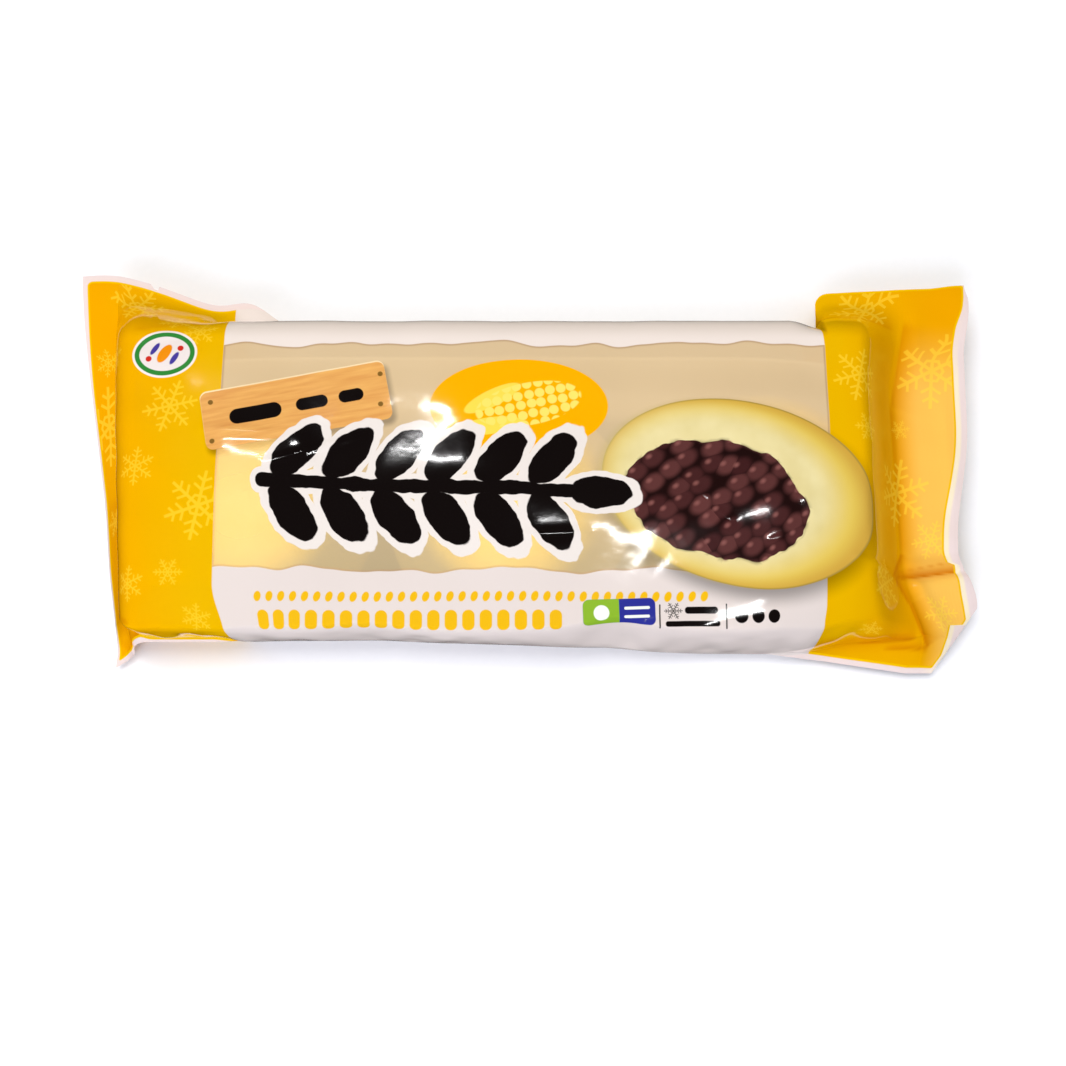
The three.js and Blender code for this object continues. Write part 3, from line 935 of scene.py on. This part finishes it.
# %% Wooden tag, corn and sprig
TAG_MIDDLE, TAG_HALF, TAG_TILT = (-65.5, 11.9), (26.9, 9.0), 11.3
RIVETS = ((-90.2, 12.9), (-41.6, 21.9), (-41.2, 12.6), (-88.9, 0.8))
KERNEL = 3.1        # width of one kernel in mm


def motif_layers(tree, at):
    """The motifs in printing order, and one shape for all that they cover."""
    board = bar(tree, at, TAG_MIDDLE, TAG_HALF, TAG_TILT, 2.2)
    amber = oval(tree, at, (-1.25, 11.9), (25.7, 14.5))
    dish = oval(tree, at, DISH_MIDDLE, DISH_HALF, DISH_TILT)
    border = sprig(tree, at, 1.7)
    grain_at = placed(tree, at, TAG_MIDDLE, TAG_TILT, (13.0, 1.3))
    grain = add(tree, "ShaderNodeTexNoise", {"Vector": grain_at, "Scale": 1.0, "Detail": 3.0})
    wood = add(tree, "ShaderNodeMix", {"Factor": grain, "A": "#ecb765", "B": "#c57d3f"}, data_type="RGBA")
    rivets = [oval(tree, at, spot, (0.75, 0.75)) for spot in RIVETS]
    marks = [
        bar(tree, at, (-77, 9.6), (7.5, 2.4), TAG_TILT, 2.3),
        bar(tree, at, (-61, 12.9), (4.6, 1.9), TAG_TILT, 1.8),
        bar(tree, at, (-49.8, 15.2), (3.6, 1.9), TAG_TILT, 1.8),
    ]
    kernels = add(tree, "ShaderNodeTexVoronoi", {
        "Vector": placed(tree, at, (-1, 11.5), 12), "Scale": 1 / KERNEL, "Randomness": 0.15,
    }, voronoi_dimensions="2D")
    kernels = add(tree, "ShaderNodeMath", [kernels, KERNEL, -1.4], operation="MULTIPLY_ADD")
    cob = overlap(tree, oval(tree, at, (1.5, 12.4), (15.5, 6.6), 12), kernels)
    husk = joined(tree, oval(tree, at, (-9.5, 5.6), (9.5, 2.6), 8), oval(tree, at, (-9, 14.2), (9, 2.6), 28))
    layers = [
        (bar(tree, at, (-64.6, 10.7), (27.2, 9.4), TAG_TILT, 2.5), 0.5, 1.2),
        (bar(tree, at, (-65.6, 12.3), TAG_HALF, TAG_TILT, 2.2), "#f2d8a8"),
        (board, wood),
        (joined(tree, *marks), BLACK),
        (joined(tree, *rivets), "#7c5a24"),
        (amber, "#f0a600"),
        (husk, "#f6cf4a"),
        (cob, "#f6d662"),
        *bean_layers(tree, at, dish),
        (border, "#e0d6cc"),
        (sprig(tree, at, 0.0), BLACK),
    ]
    return layers, joined(tree, board, amber, dish, border)


print("the tag is", 2 * TAG_HALF[0], "by", 2 * TAG_HALF[1], "mm")


# %% Ticks, kernels, bars and dots along the near side
TICK_PITCH, KERNEL_PITCH = 3.4, 4.9


def repeated(tree, at, start, pitch):
    """Coordinates that start again every pitch mm along u."""
    parts = add(tree, "ShaderNodeSeparateXYZ", [at])
    wrapped = add(tree, "ShaderNodeMath", [parts.outputs["X"], start + pitch, start], operation="WRAP")
    return add(tree, "ShaderNodeCombineXYZ", {"X": wrapped, "Y": parts.outputs["Y"], "Z": 1.0})


def small_layers(tree, at):
    """Two rows in yellow, a badge in two colours, and dark bars and dots with one small snowflake."""
    ticks = oval(tree, repeated(tree, at, -76.5, TICK_PITCH), (-74.9, -43.9), (1.0, 1.5), -20)
    ticks = overlap(tree, ticks, bar(tree, at, (-11.9, -44), (64.6, 3), 0, 0.2))
    kernels = bar(tree, repeated(tree, at, -76.5, KERNEL_PITCH), (-74.1, -50.6), (1.75, 2.9), 0, 1.7)
    kernels = overlap(tree, kernels, bar(tree, at, (-32.6, -50.6), (44.1, 3.4), 0, 0.2))
    badge = bar(tree, at, (27, -48.4), (10.2, 3.9), 2, 1.8)
    green = overlap(tree, badge, bar(tree, at, (21, -48.4), (6, 5), 2))
    pale = [bar(tree, at, (32, y), (3.6, 0.4), 2, 0.4) for y in (-47, -49.4)]
    pale.append(oval(tree, at, (22, -48.5), (2.2, 2.2)))
    dark = [bar(tree, at, (50, -47.8), (4.6, 1.0), 0, 0.9)]
    dark.append(bar(tree, at, (47.6, -51.6), (7.6, 0.8), 0, 0.7))
    dark += [bar(tree, at, (u, -49.6), (0.2, 3.6), 0, 0.2) for u in (38.4, 57.0)]
    dark += [oval(tree, at, (u, -49.6), (1.9, 1.9)) for u in (61.2, 66.2, 71.2)]
    dark.append(sprinkled(tree, at, [(42.2, -47.9, 2.6, 0)]))
    return [
        (joined(tree, ticks, kernels), "#e2ae14"),
        (badge, "#2b2f86"),
        (green, "#84ab2c"),
        (joined(tree, *pale), "#e9ecdc"),
        (joined(tree, *dark), BLACK),
    ]


print("a tick comes every", TICK_PITCH, "mm and a kernel every", KERNEL_PITCH, "mm")

# %% An oval label
LABEL_X, LABEL_Y = -104.7, 28.4


def label_layers(tree, at):
    """A pale label with a green ring, and in it a grain between two leaves and two dots."""
    middle = (LABEL_X, LABEL_Y)
    dots, leaves = [], []
    for side in (-1, 1):
        dots.append(oval(tree, at, (LABEL_X + 4.6 * side, LABEL_Y + 1.6 * side), (0.9, 0.9)))
        leaves.append(oval(tree, at, (LABEL_X + 3.0 * side, LABEL_Y - 1.6 * side), (2.2, 0.8), 60))
    return [
        (oval(tree, at, middle, (9.6, 7.6)), "#e8dcd4"),
        (oval(tree, at, middle, (8.9, 6.9)), "#2f7d33"),
        (oval(tree, at, middle, (7.5, 5.5)), "#e0d4cd"),
        (oval(tree, at, middle, (3.2, 1.6), 60), "#e2860e"),
        (joined(tree, *dots), "#c22a1e"),
        (joined(tree, *leaves), "#43388c"),
    ]


print("the label's middle is at", LABEL_X, LABEL_Y)

# %% [markdown]
# Putting the inks together
#
# The film is BOPP, a stiff clear polypropylene film with ink behind its glossy face. Its index of refraction
# is about 1.5 and its gloss is high, so roughness is low and lights show in it as sharp streaks. Only the
# window lets light through: there the film carries no ink, and frost and a matt inner layer make it hazy,
# less so where it lies on a bun. Real haze would need glass and scattering, which are slow and noisy through
# two layers, so alpha holds it here.

# %% Window
END_LEFT, END_RIGHT = -87.4, 88.0       # where the yellow ends begin
WINDOW_TOP, WINDOW_FOOT = 31.4, -36.4
WAVE, WAVE_LENGTH = 6.0, 19     # height and length of the waves of the window's long edges


def middle_shape(tree, u):
    """All that lies between the two yellow ends."""
    centred = add(tree, "ShaderNodeMath", [u, (END_LEFT + END_RIGHT) / 2], operation="SUBTRACT")
    centred = add(tree, "ShaderNodeMath", [centred], operation="ABSOLUTE")
    return add(tree, "ShaderNodeMath", [centred, (END_RIGHT - END_LEFT) / 2], operation="SUBTRACT")


def window_shape(tree, u, v):
    """The clear window, whose long edges wave a little."""
    edges = [middle_shape(tree, u)]
    for sign, line, start in ((1, WINDOW_TOP, 0.0), (-1, WINDOW_FOOT, 90.0)):
        along = add(tree, "ShaderNodeMath", [u, start], operation="ADD")
        wave = add(tree, "ShaderNodeTexNoise", {
            "W": along, "Scale": 1 / WAVE_LENGTH, "Detail": 1.0,
        }, noise_dimensions="1D")
        wave = add(tree, "ShaderNodeMath", [wave, WAVE, -WAVE / 2 - sign * line], operation="MULTIPLY_ADD")
        edges.append(add(tree, "ShaderNodeMath", [v, sign, wave], operation="MULTIPLY_ADD"))
    return overlap(tree, *edges)


print("the window is about", round(WINDOW_TOP - WINDOW_FOOT), "mm across")


# %% Inks of the window, the white bands and the yellow ends
def haze_ink(tree, at, touch):
    """Milky film: beige where it stands off the buns, pale where it lies on them. The beige carries painted
    shade, darker towards the near side, and painted light in broad pale patches.
    """
    # painted light: broad pale patches on the haze
    painted_light_patches = add(tree, "ShaderNodeTexNoise", {"Vector": at, "Scale": 1 / 38.0, "Detail": 1.0})
    across = add(tree, "ShaderNodeSeparateXYZ", [at]).outputs["Y"]
    shade = add(tree, "ShaderNodeMapRange", {"Value": across, "From Min": -36.0, "From Max": 20.0})
    shade = add(tree, "ShaderNodeMath", [painted_light_patches, 0.5, shade], operation="MULTIPLY_ADD")
    beige = add(tree, "ShaderNodeMix", {"Factor": shade, "A": "#ae9b75", "B": "#d3b88e"}, data_type="RGBA")
    return add(tree, "ShaderNodeMix", {"Factor": touch, "A": beige, "B": "#ecca86"}, data_type="RGBA")


def white_ink(tree, v, fold_shade):
    """The white of the long bands: warm and greyer towards the near edge, with painted shade in every
    crease.
    """
    shade = add(tree, "ShaderNodeMapRange", {"Value": v, "From Min": 30.0, "From Max": -40.0})
    white = add(tree, "ShaderNodeMix", {"Factor": shade, "A": "#e0d2c6", "B": "#d7cac1"}, data_type="RGBA")
    return add(tree, "ShaderNodeMix", {"Factor": fold_shade, "A": white, "B": "#8c8783"}, data_type="RGBA")


def yellow_ink(tree, at, u, right_fin, fold_shade):
    """The yellow of the ends, with painted shade that turns it more orange towards the fins and darker in
    every crease, and painted light that makes it pale where light is behind it.
    """
    drift = add(tree, "ShaderNodeTexNoise", {"Vector": at, "Scale": 1 / 30.0, "Detail": 2.0})
    # painted shade: the ink turns more orange towards both ends and their fins
    painted_end_shade = add(tree, "ShaderNodeMath", [u], operation="ABSOLUTE")
    painted_end_shade = add(tree, "ShaderNodeMapRange", {
        "Value": painted_end_shade, "From Min": 92.0, "From Max": 130.0, "To Max": 0.8,
    })
    painted_end_shade = add(tree, "ShaderNodeMath", [drift, 0.4, painted_end_shade], operation="MULTIPLY_ADD")
    body = add(tree, "ShaderNodeMix", {"Factor": painted_end_shade, "A": "#dcab00", "B": "#e49c00"}, data_type="RGBA")
    body = add(tree, "ShaderNodeMix", {"Factor": right_fin, "A": body, "B": "#f2ba50"}, data_type="RGBA")
    return add(tree, "ShaderNodeMix", {"Factor": fold_shade, "A": body, "B": "#c97200"}, data_type="RGBA")


def bare_edges(tree, inset, right_fin):
    """The strip along the cut edges: a cream band on the right fin, then bare film."""
    cream = add(tree, "ShaderNodeMix", {
        "Factor": right_fin, "A": "#e3cfc6", "B": "#eedfbe",
    }, data_type="RGBA")
    outer = add(tree, "ShaderNodeMath", [inset, 1.5], operation="ADD")
    return [(inset, cream), (outer, "#e2cfc9", 0.5)]


# %% Fine relief that is too small for the mesh
CRIMP = 1.2     # the crimping jaws leave a rib every 1.2 mm
RIB_SCALE = 2 * math.pi / 20 / CRIMP        # a wave texture of scale 1 repeats every 2 pi / 20
RIB_RISE, UNEVEN_RISE = 0.012, 0.06     # in mm


def film_bump(tree, at, zone):
    """Crimp ribs across the fins, and the faint unevenness of film under tension."""
    ribs = add(tree, "ShaderNodeTexWave", {
        "Vector": at, "Scale": RIB_SCALE,
    }, wave_type="BANDS", bands_direction="X")
    crimped = add(tree, "ShaderNodeMath", [zone.outputs["X"], zone.outputs["Y"]], operation="MAXIMUM")
    ribs = add(tree, "ShaderNodeMath", [ribs, crimped], operation="MULTIPLY")
    uneven = add(tree, "ShaderNodeTexNoise", {
        "Vector": at, "Scale": 1 / 6.0, "Detail": 3.0, "Roughness": 0.4,
    })
    uneven = add(tree, "ShaderNodeMath", [uneven, UNEVEN_RISE], operation="MULTIPLY")
    height = add(tree, "ShaderNodeMath", [ribs, RIB_RISE, uneven], operation="MULTIPLY_ADD")
    return add(tree, "ShaderNodeBump", {"Height": height, "Distance": MM, "Strength": 0.6})


print("a 12 mm fin has", round(12 / CRIMP), "ribs")


# %% Film materials
FLAKE_COVER = 0.36      # the flakes are a thin veil of pale ink
HAZE, TOUCHED_HAZE = 0.88, 0.36     # how much the window hides, off the buns and on them
LOW_SPECULAR = 0.15     # as through a polarising filter, which leaves only the strong streaks
BRINK, BORDER = 0.6, 0.5        # widths in mm of the line along the ink's edge and of the window's brown one


def film_material(name, windowed):
    """Printed film. windowed adds the clear window and all that is printed on the front."""
    material, tree = new_material(name)
    film = add(tree, "ShaderNodeAttribute", attribute_name="film").outputs["Vector"]
    zone = add(tree, "ShaderNodeAttribute", attribute_name="zone").outputs["Vector"]
    zone = add(tree, "ShaderNodeSeparateXYZ", [zone])
    at = add(tree, "ShaderNodeVectorMath", [film, (1, 1, 0), (0, 0, 1)], operation="MULTIPLY_ADD")
    parts = add(tree, "ShaderNodeSeparateXYZ", [film])
    u, v, inset = parts.outputs["X"], parts.outputs["Y"], parts.outputs["Z"]
    # painted shade of the folds, read from the mesh
    fold_shade = add(tree, "ShaderNodeAttribute", attribute_name="fold_shade").outputs["Fac"]
    yellow = yellow_ink(tree, at, u, zone.outputs["Y"], fold_shade)
    flake_ink = add(tree, "ShaderNodeMix", {
        "Factor": FLAKE_COVER, "A": yellow, "B": "#fbd83c",
    }, data_type="RGBA")
    brink = add(tree, "ShaderNodeMath", [inset, BRINK], operation="SUBTRACT")
    colour = printed(tree, yellow, [
        (sprinkled(tree, at, FLAKES), flake_ink),
        (brink, "#e6b400"),
        (middle_shape(tree, u), white_ink(tree, v, fold_shade)),
    ])
    alpha = 1.0
    if windowed:
        window = window_shape(tree, u, v)
        rim = add(tree, "ShaderNodeMath", [window, BORDER], operation="ADD")
        haze = haze_ink(tree, at, zone.outputs["Z"])
        colour = printed(tree, colour, [(window, "#b89a74"), (rim, haze, 0.3)])
        motifs, cover = motif_layers(tree, at)
        colour = printed(tree, colour, motifs)
        colour = printed(tree, colour, small_layers(tree, at))
        colour = printed(tree, colour, label_layers(tree, at))
        bared = add(tree, "ShaderNodeMath", [cover, -1.0], operation="MULTIPLY")
        veil = add(tree, "ShaderNodeMapRange", {
            "Value": zone.outputs["Z"], "To Min": HAZE, "To Max": TOUCHED_HAZE,
        })
        alpha = add(tree, "ShaderNodeMapRange", {
            "Value": overlap(tree, window, bared), "From Min": -EDGE, "From Max": EDGE, "To Min": veil,
        })
    colour = printed(tree, colour, bare_edges(tree, inset, zone.outputs["Y"]))
    shader = add(tree, "ShaderNodeBsdfPrincipled", {
        "Base Color": colour, "Roughness": 0.07, "IOR": 1.5, "Specular IOR Level": LOW_SPECULAR,
        "Alpha": alpha, "Normal": film_bump(tree, at, zone),
    })
    add(tree, "ShaderNodeOutputMaterial", {"Surface": shader})
    return material


FILM_FRONT = film_material("printed BOPP film with a hazy window", True)
FILM_BACK = film_material("printed BOPP film", False)
film_front.data.materials.append(FILM_FRONT)
film_front.visible_shadow = False      # haze spreads light forward, so it hardly dims the buns
film_back.data.materials.append(FILM_BACK)
print("the front film's material has", len(FILM_FRONT.node_tree.nodes), "nodes")

# %% [markdown]
# Steamed dough
#
# Steamed dough has no crust: its skin is smooth, matt and slightly damp, pale yellow from the corn, with
# pores a fraction of a millimetre wide. Light sinks a little way in, which softens its shades. Behind hazy
# film that can't be told from a plain matt skin, so the colour alone is made warm and pale. The pores are
# drawn 1.3 mm wide, or they would be too fine to show.

# %% Dough
PORE, BLOTCH = 1.3 * MM, 14 * MM


def dough_material():
    material, tree = new_material("steamed corn dough")
    at = add(tree, "ShaderNodeTexCoord").outputs["Object"]
    blotches = add(tree, "ShaderNodeTexNoise", {"Vector": at, "Scale": 1 / BLOTCH, "Detail": 3.0})
    pores = add(tree, "ShaderNodeTexVoronoi", {"Vector": at, "Scale": 1 / PORE})
    colour = add(tree, "ShaderNodeMix", {
        "Factor": blotches, "A": "#efd581", "B": "#e6c565",
    }, data_type="RGBA")
    bump = add(tree, "ShaderNodeBump", {
        "Height": pores.outputs["Distance"], "Distance": 0.12 * MM, "Strength": 0.5,
    })
    shader = add(tree, "ShaderNodeBsdfPrincipled", {
        "Base Color": colour, "Roughness": 0.55, "IOR": 1.4, "Normal": bump,
    })
    add(tree, "ShaderNodeOutputMaterial", {"Surface": shader})
    return material


DOUGH = dough_material()
for piece in buns:
    piece.data.materials.append(DOUGH)
print("pores", round(1000 * PORE, 1), "mm apart, blotches", round(1000 * BLOTCH), "mm")

# %% [markdown]
# The tray
#
# The flat back and straight sides say that the buns stand in a tray. Such trays are drawn from a thin sheet
# of natural polypropylene over a mould, so the wall is thin, every edge is rounded, and the wall leans out
# so that the tray leaves the mould. A box with bevels and a solidify modifier would do, but rings of points
# give the lean, the ribs and the rolled rim at once: floor, foot, wall and rim, then back down outside.

# %% Tray shape
TRAY_X, TRAY_Y = (-114.5, 103.5), (-50.0, 34.0)
TRAY_WALL, TRAY_CORNER = 16.0, 14.0
RING_POINTS, RIBS, RIB_DEPTH = 360, 60, 0.004       # the ribs are cut in by that share of the plan
SQUARENESS = 0.16       # power of the superellipse: 1 would be an oval, 0 a rectangle


def tray_ring(inset, height, ribbed=0.0):
    """A rounded rectangle, inset from the tray's rim, with upright ribs in its wall."""
    half = np.array([(TRAY_X[1] - TRAY_X[0]) / 2, (TRAY_Y[1] - TRAY_Y[0]) / 2]) - inset
    middle = np.array([sum(TRAY_X) / 2, sum(TRAY_Y) / 2])
    turn = np.linspace(0, 2 * math.pi, RING_POINTS, endpoint=False)
    corner = max(TRAY_CORNER - inset, 1.0)
    facing = np.stack([np.cos(turn), np.sin(turn)], axis=1)
    box = np.sign(facing) * np.abs(facing) ** SQUARENESS
    plan = box / np.abs(box).max(axis=1, keepdims=True) * (half - corner) + facing * corner
    plan = plan * (1 - ribbed * RIB_DEPTH * (0.5 + 0.5 * np.cos(RIBS * turn))[:, None]) + middle
    return np.concatenate([plan, np.full((RING_POINTS, 1), height)], axis=1)


def tray_mesh():
    """Rings of (inset, height, ribbed), up the inside and down the outside."""
    inner = [(16, 0.9, 0), (9, 0.85, 0), (5.2, 1.0, 0), (3.8, 2.2, 1), (3.2, 5, 1), (2.4, 10, 1),
             (1.8, 15, 1), (1.4, TRAY_WALL, 0), (0.4, TRAY_WALL + 0.1, 0), (0, TRAY_WALL - 0.4, 0)]
    outer = [(0.1, TRAY_WALL - 0.8, 0), (1.0, TRAY_WALL - 0.5, 0), (2.2, 14.5, 1), (2.9, 10, 1), (3.7, 5, 1),
             (4.3, 2, 1), (5.8, 0.65, 0), (9, 0.6, 0), (16, 0.6, 0)]
    rings = [tray_ring(*ring) for ring in inner + outer]
    return np.stack(rings) + shift


tray = grid_object("tray", tray_mesh(), closed=True, collapse_ends=True, flip=True)
print("the tray is", [round(1000 * d) for d in tray.dimensions], "mm")


# %% [markdown]
# The tray's plastic
#
# Natural polypropylene carries no dye. It is milky and warm against the light, with a dull satin face from
# the mould, so its roughness is about 0.4.

# %% Natural polypropylene
def tray_material():
    material, tree = new_material("natural polypropylene, vacuum formed")
    at = add(tree, "ShaderNodeTexCoord").outputs["Object"]
    cloudy = add(tree, "ShaderNodeTexNoise", {"Vector": at, "Scale": 1 / (25 * MM), "Detail": 2.0})
    colour = add(tree, "ShaderNodeMix", {
        "Factor": cloudy, "A": "#d8c7a0", "B": "#c6b082",
    }, data_type="RGBA")
    grit = add(tree, "ShaderNodeTexNoise", {"Vector": at, "Scale": 1 / (0.8 * MM), "Detail": 1.0})
    bump = add(tree, "ShaderNodeBump", {"Height": grit, "Distance": 0.03 * MM, "Strength": 0.4})
    shader = add(tree, "ShaderNodeBsdfPrincipled", {
        "Base Color": colour, "Roughness": 0.4, "IOR": 1.49, "Normal": bump,
    })
    add(tree, "ShaderNodeOutputMaterial", {"Surface": shader})
    return material


tray.data.materials.append(tray_material())
print("the tray is of", tray.data.materials[0].name)

# %% [markdown]
# The back seam
#
# A flow wrap is closed along its back: both edges of the web are pinched face to face, crimped, and folded
# flat. That leaves a ribbed strip along the underside. It could be part of the back sheet, but the sheet is
# one grid, and a flat strip of its own keeps its thin free edge.

# %% Back seam
SEAM_START, SEAM_STOP, SEAM_FOOT, SEAM_TOP = -112, 100, 0.05, 0.42
SEAM_WHITE = (-88, 90)      # beyond these the seam is as yellow as the ends


def seam_mesh():
    """A thin flat strip with rounded edges, in the groove of the back film."""
    inner = SEAM_HALF - 0.4
    profile = [(-SEAM_HALF, 0.3), (-inner, SEAM_FOOT), (inner, SEAM_FOOT), (SEAM_HALF, 0.3),
               (inner, SEAM_TOP), (-inner, SEAM_TOP)]
    along = np.linspace(SEAM_START, SEAM_STOP, SEAM_STOP - SEAM_START + 1)
    rows = [[(x, SEAM_Y + 0.2 * math.sin(x / 19) + y, z) for y, z in profile] for x in along]
    return np.array(rows) + shift


back_seam = grid_object("back_seam", seam_mesh(), closed=True, collapse_ends=True)
print("the seam is", round(2 * SEAM_HALF), "mm wide")


# %% Crimped film of the seam
def seam_material():
    """The same film, seen on its printed face, with the ribs that the crimping wheels press into it."""
    material, tree = new_material("crimped BOPP film")
    at = add(tree, "ShaderNodeTexCoord").outputs["Object"]
    parts = add(tree, "ShaderNodeSeparateXYZ", [at])
    ribs = add(tree, "ShaderNodeTexWave", {
        "Vector": at, "Scale": RIB_SCALE / MM,
    }, wave_type="BANDS", bands_direction="X")
    middle, half = sum(SEAM_WHITE) / 2, (SEAM_WHITE[1] - SEAM_WHITE[0]) / 2
    ground = add(tree, "ShaderNodeMath", [parts.outputs["X"], -middle * MM], operation="ADD")
    ground = add(tree, "ShaderNodeMath", [ground], operation="ABSOLUTE")
    ground = add(tree, "ShaderNodeMath", [ground, 1 / MM, -half], operation="MULTIPLY_ADD")
    crease = add(tree, "ShaderNodeTexNoise", {"Vector": at, "Scale": 1 / (20 * MM), "Detail": 2.0})
    white = add(tree, "ShaderNodeMix", {"Factor": crease, "A": "#efe2d6", "B": "#e2d6cb"}, data_type="RGBA")
    colour = printed(tree, "#f4b400", [(ground, white)])
    bump = add(tree, "ShaderNodeBump", {"Height": ribs, "Distance": 0.1 * MM, "Strength": 0.8})
    shader = add(tree, "ShaderNodeBsdfPrincipled", {
        "Base Color": colour, "Roughness": 0.25, "IOR": 1.5, "Normal": bump,
    })
    add(tree, "ShaderNodeOutputMaterial", {"Surface": shader})
    return material


back_seam.data.materials.append(seam_material())
print("the seam's ribs are", CRIMP, "mm apart")

# %% [markdown]
# Floor, light and camera
#
# A plain white table, a large softbox overhead and a cooler fill from the front, as in a small product
# studio. Glossy film would mirror all of them and lose its colour, and a photographer takes that away with
# polarising filters. So neither they nor the table nor the room show in the gloss, and two narrow tubes that
# show in nothing else draw the streaks. The camera looks down from 77 degrees above the table.

# %% Floor
def floor_material():
    """Uncoated card: white, with a faint tooth and no gloss."""
    material, tree = new_material("matt white card")
    at = add(tree, "ShaderNodeTexCoord").outputs["Object"]
    tooth = add(tree, "ShaderNodeTexNoise", {"Vector": at, "Scale": 1 / (2 * MM), "Detail": 2.0})
    colour = add(tree, "ShaderNodeMix", {"Factor": tooth, "A": "#f7f7f7", "B": "#fbfbfb"}, data_type="RGBA")
    shader = add(tree, "ShaderNodeBsdfPrincipled", {"Base Color": colour, "Roughness": 0.9})
    add(tree, "ShaderNodeOutputMaterial", {"Surface": shader})
    return material


bpy.ops.mesh.primitive_plane_add(size=6, location=(0, 0, -0.2 * MM))
floor = bpy.context.object
floor.name = "floor"
floor.visible_glossy = False
floor.data.materials.append(floor_material())
print("the floor is", floor.dimensions.x, "m wide")

# %% Light
scene = bpy.context.scene
scene.view_settings.view_transform = "Standard"
world = bpy.data.worlds.new("studio")
world.use_nodes = True
world.node_tree.nodes["Background"].inputs["Color"].default_value = linear("#ffffff")
world.node_tree.nodes["Background"].inputs["Strength"].default_value = 0.3
world.cycles_visibility.glossy = False
scene.world = world


def area_light(name, location, size, power, shows, tint="#ffffff"):
    """A light that faces the pack, its longer side along it. One that shows is seen in gloss alone."""
    light = bpy.data.lights.new(name, "AREA")
    light.shape = "RECTANGLE"
    light.size, light.size_y = size
    light.energy = power
    light.color = linear(tint)[:3]
    lamp = bpy.data.objects.new(name, light)
    lamp.location = location
    away = Vector(location).normalized()
    across = Vector((0, 1, 0)).cross(away).normalized()
    lamp.rotation_euler = Matrix((across, away.cross(across), away)).transposed().to_euler()
    lamp.visible_glossy = shows
    lamp.visible_diffuse = not shows
    bpy.context.collection.objects.link(lamp)
    return lamp


area_light("polarised softbox", (-0.2, 0.5, 1.6), (1.3, 1.3), 23, False)
area_light("polarised front fill", (-0.4, -1.1, 0.8), (1.0, 1.0), 16, False, "#e4ebff")
area_light("right tube", (0.15, 0.061, 1.05), (0.12, 0.012), 1.4, True)
area_light("left tube", (-0.3, 0.454, 1.05), (0.22, 0.012), 3.0, True)
print("the lamps give", sum(light.energy for light in bpy.data.lights), "W")

# %% Camera
CAMERA_AIM = Vector((2.8, -17.75, 0)) * MM
CAMERA_RISE, CAMERA_DISTANCE = math.radians(77), 455 * MM
camera = bpy.data.objects.new("camera", bpy.data.cameras.new("camera"))
camera.data.lens, camera.data.sensor_width = 50, 36
back = Vector((0, -math.cos(CAMERA_RISE), math.sin(CAMERA_RISE)))
camera.location = CAMERA_AIM + back * CAMERA_DISTANCE
camera.rotation_euler = (-back).to_track_quat("-Z", "Y").to_euler()
camera.data.clip_start = 0.01
bpy.context.collection.objects.link(camera)
scene.camera = camera
print("the camera stands at", [round(c, 3) for c in camera.location])

# %% [markdown]
# The pieces on the pack's body
#
# Every piece rides on the pack's one body, and together they stand for the solid.

# %% Ride and replace
for piece in [film_front, film_back, back_seam, tray, *buns]:
    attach(piece, "root")
    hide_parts("pack")
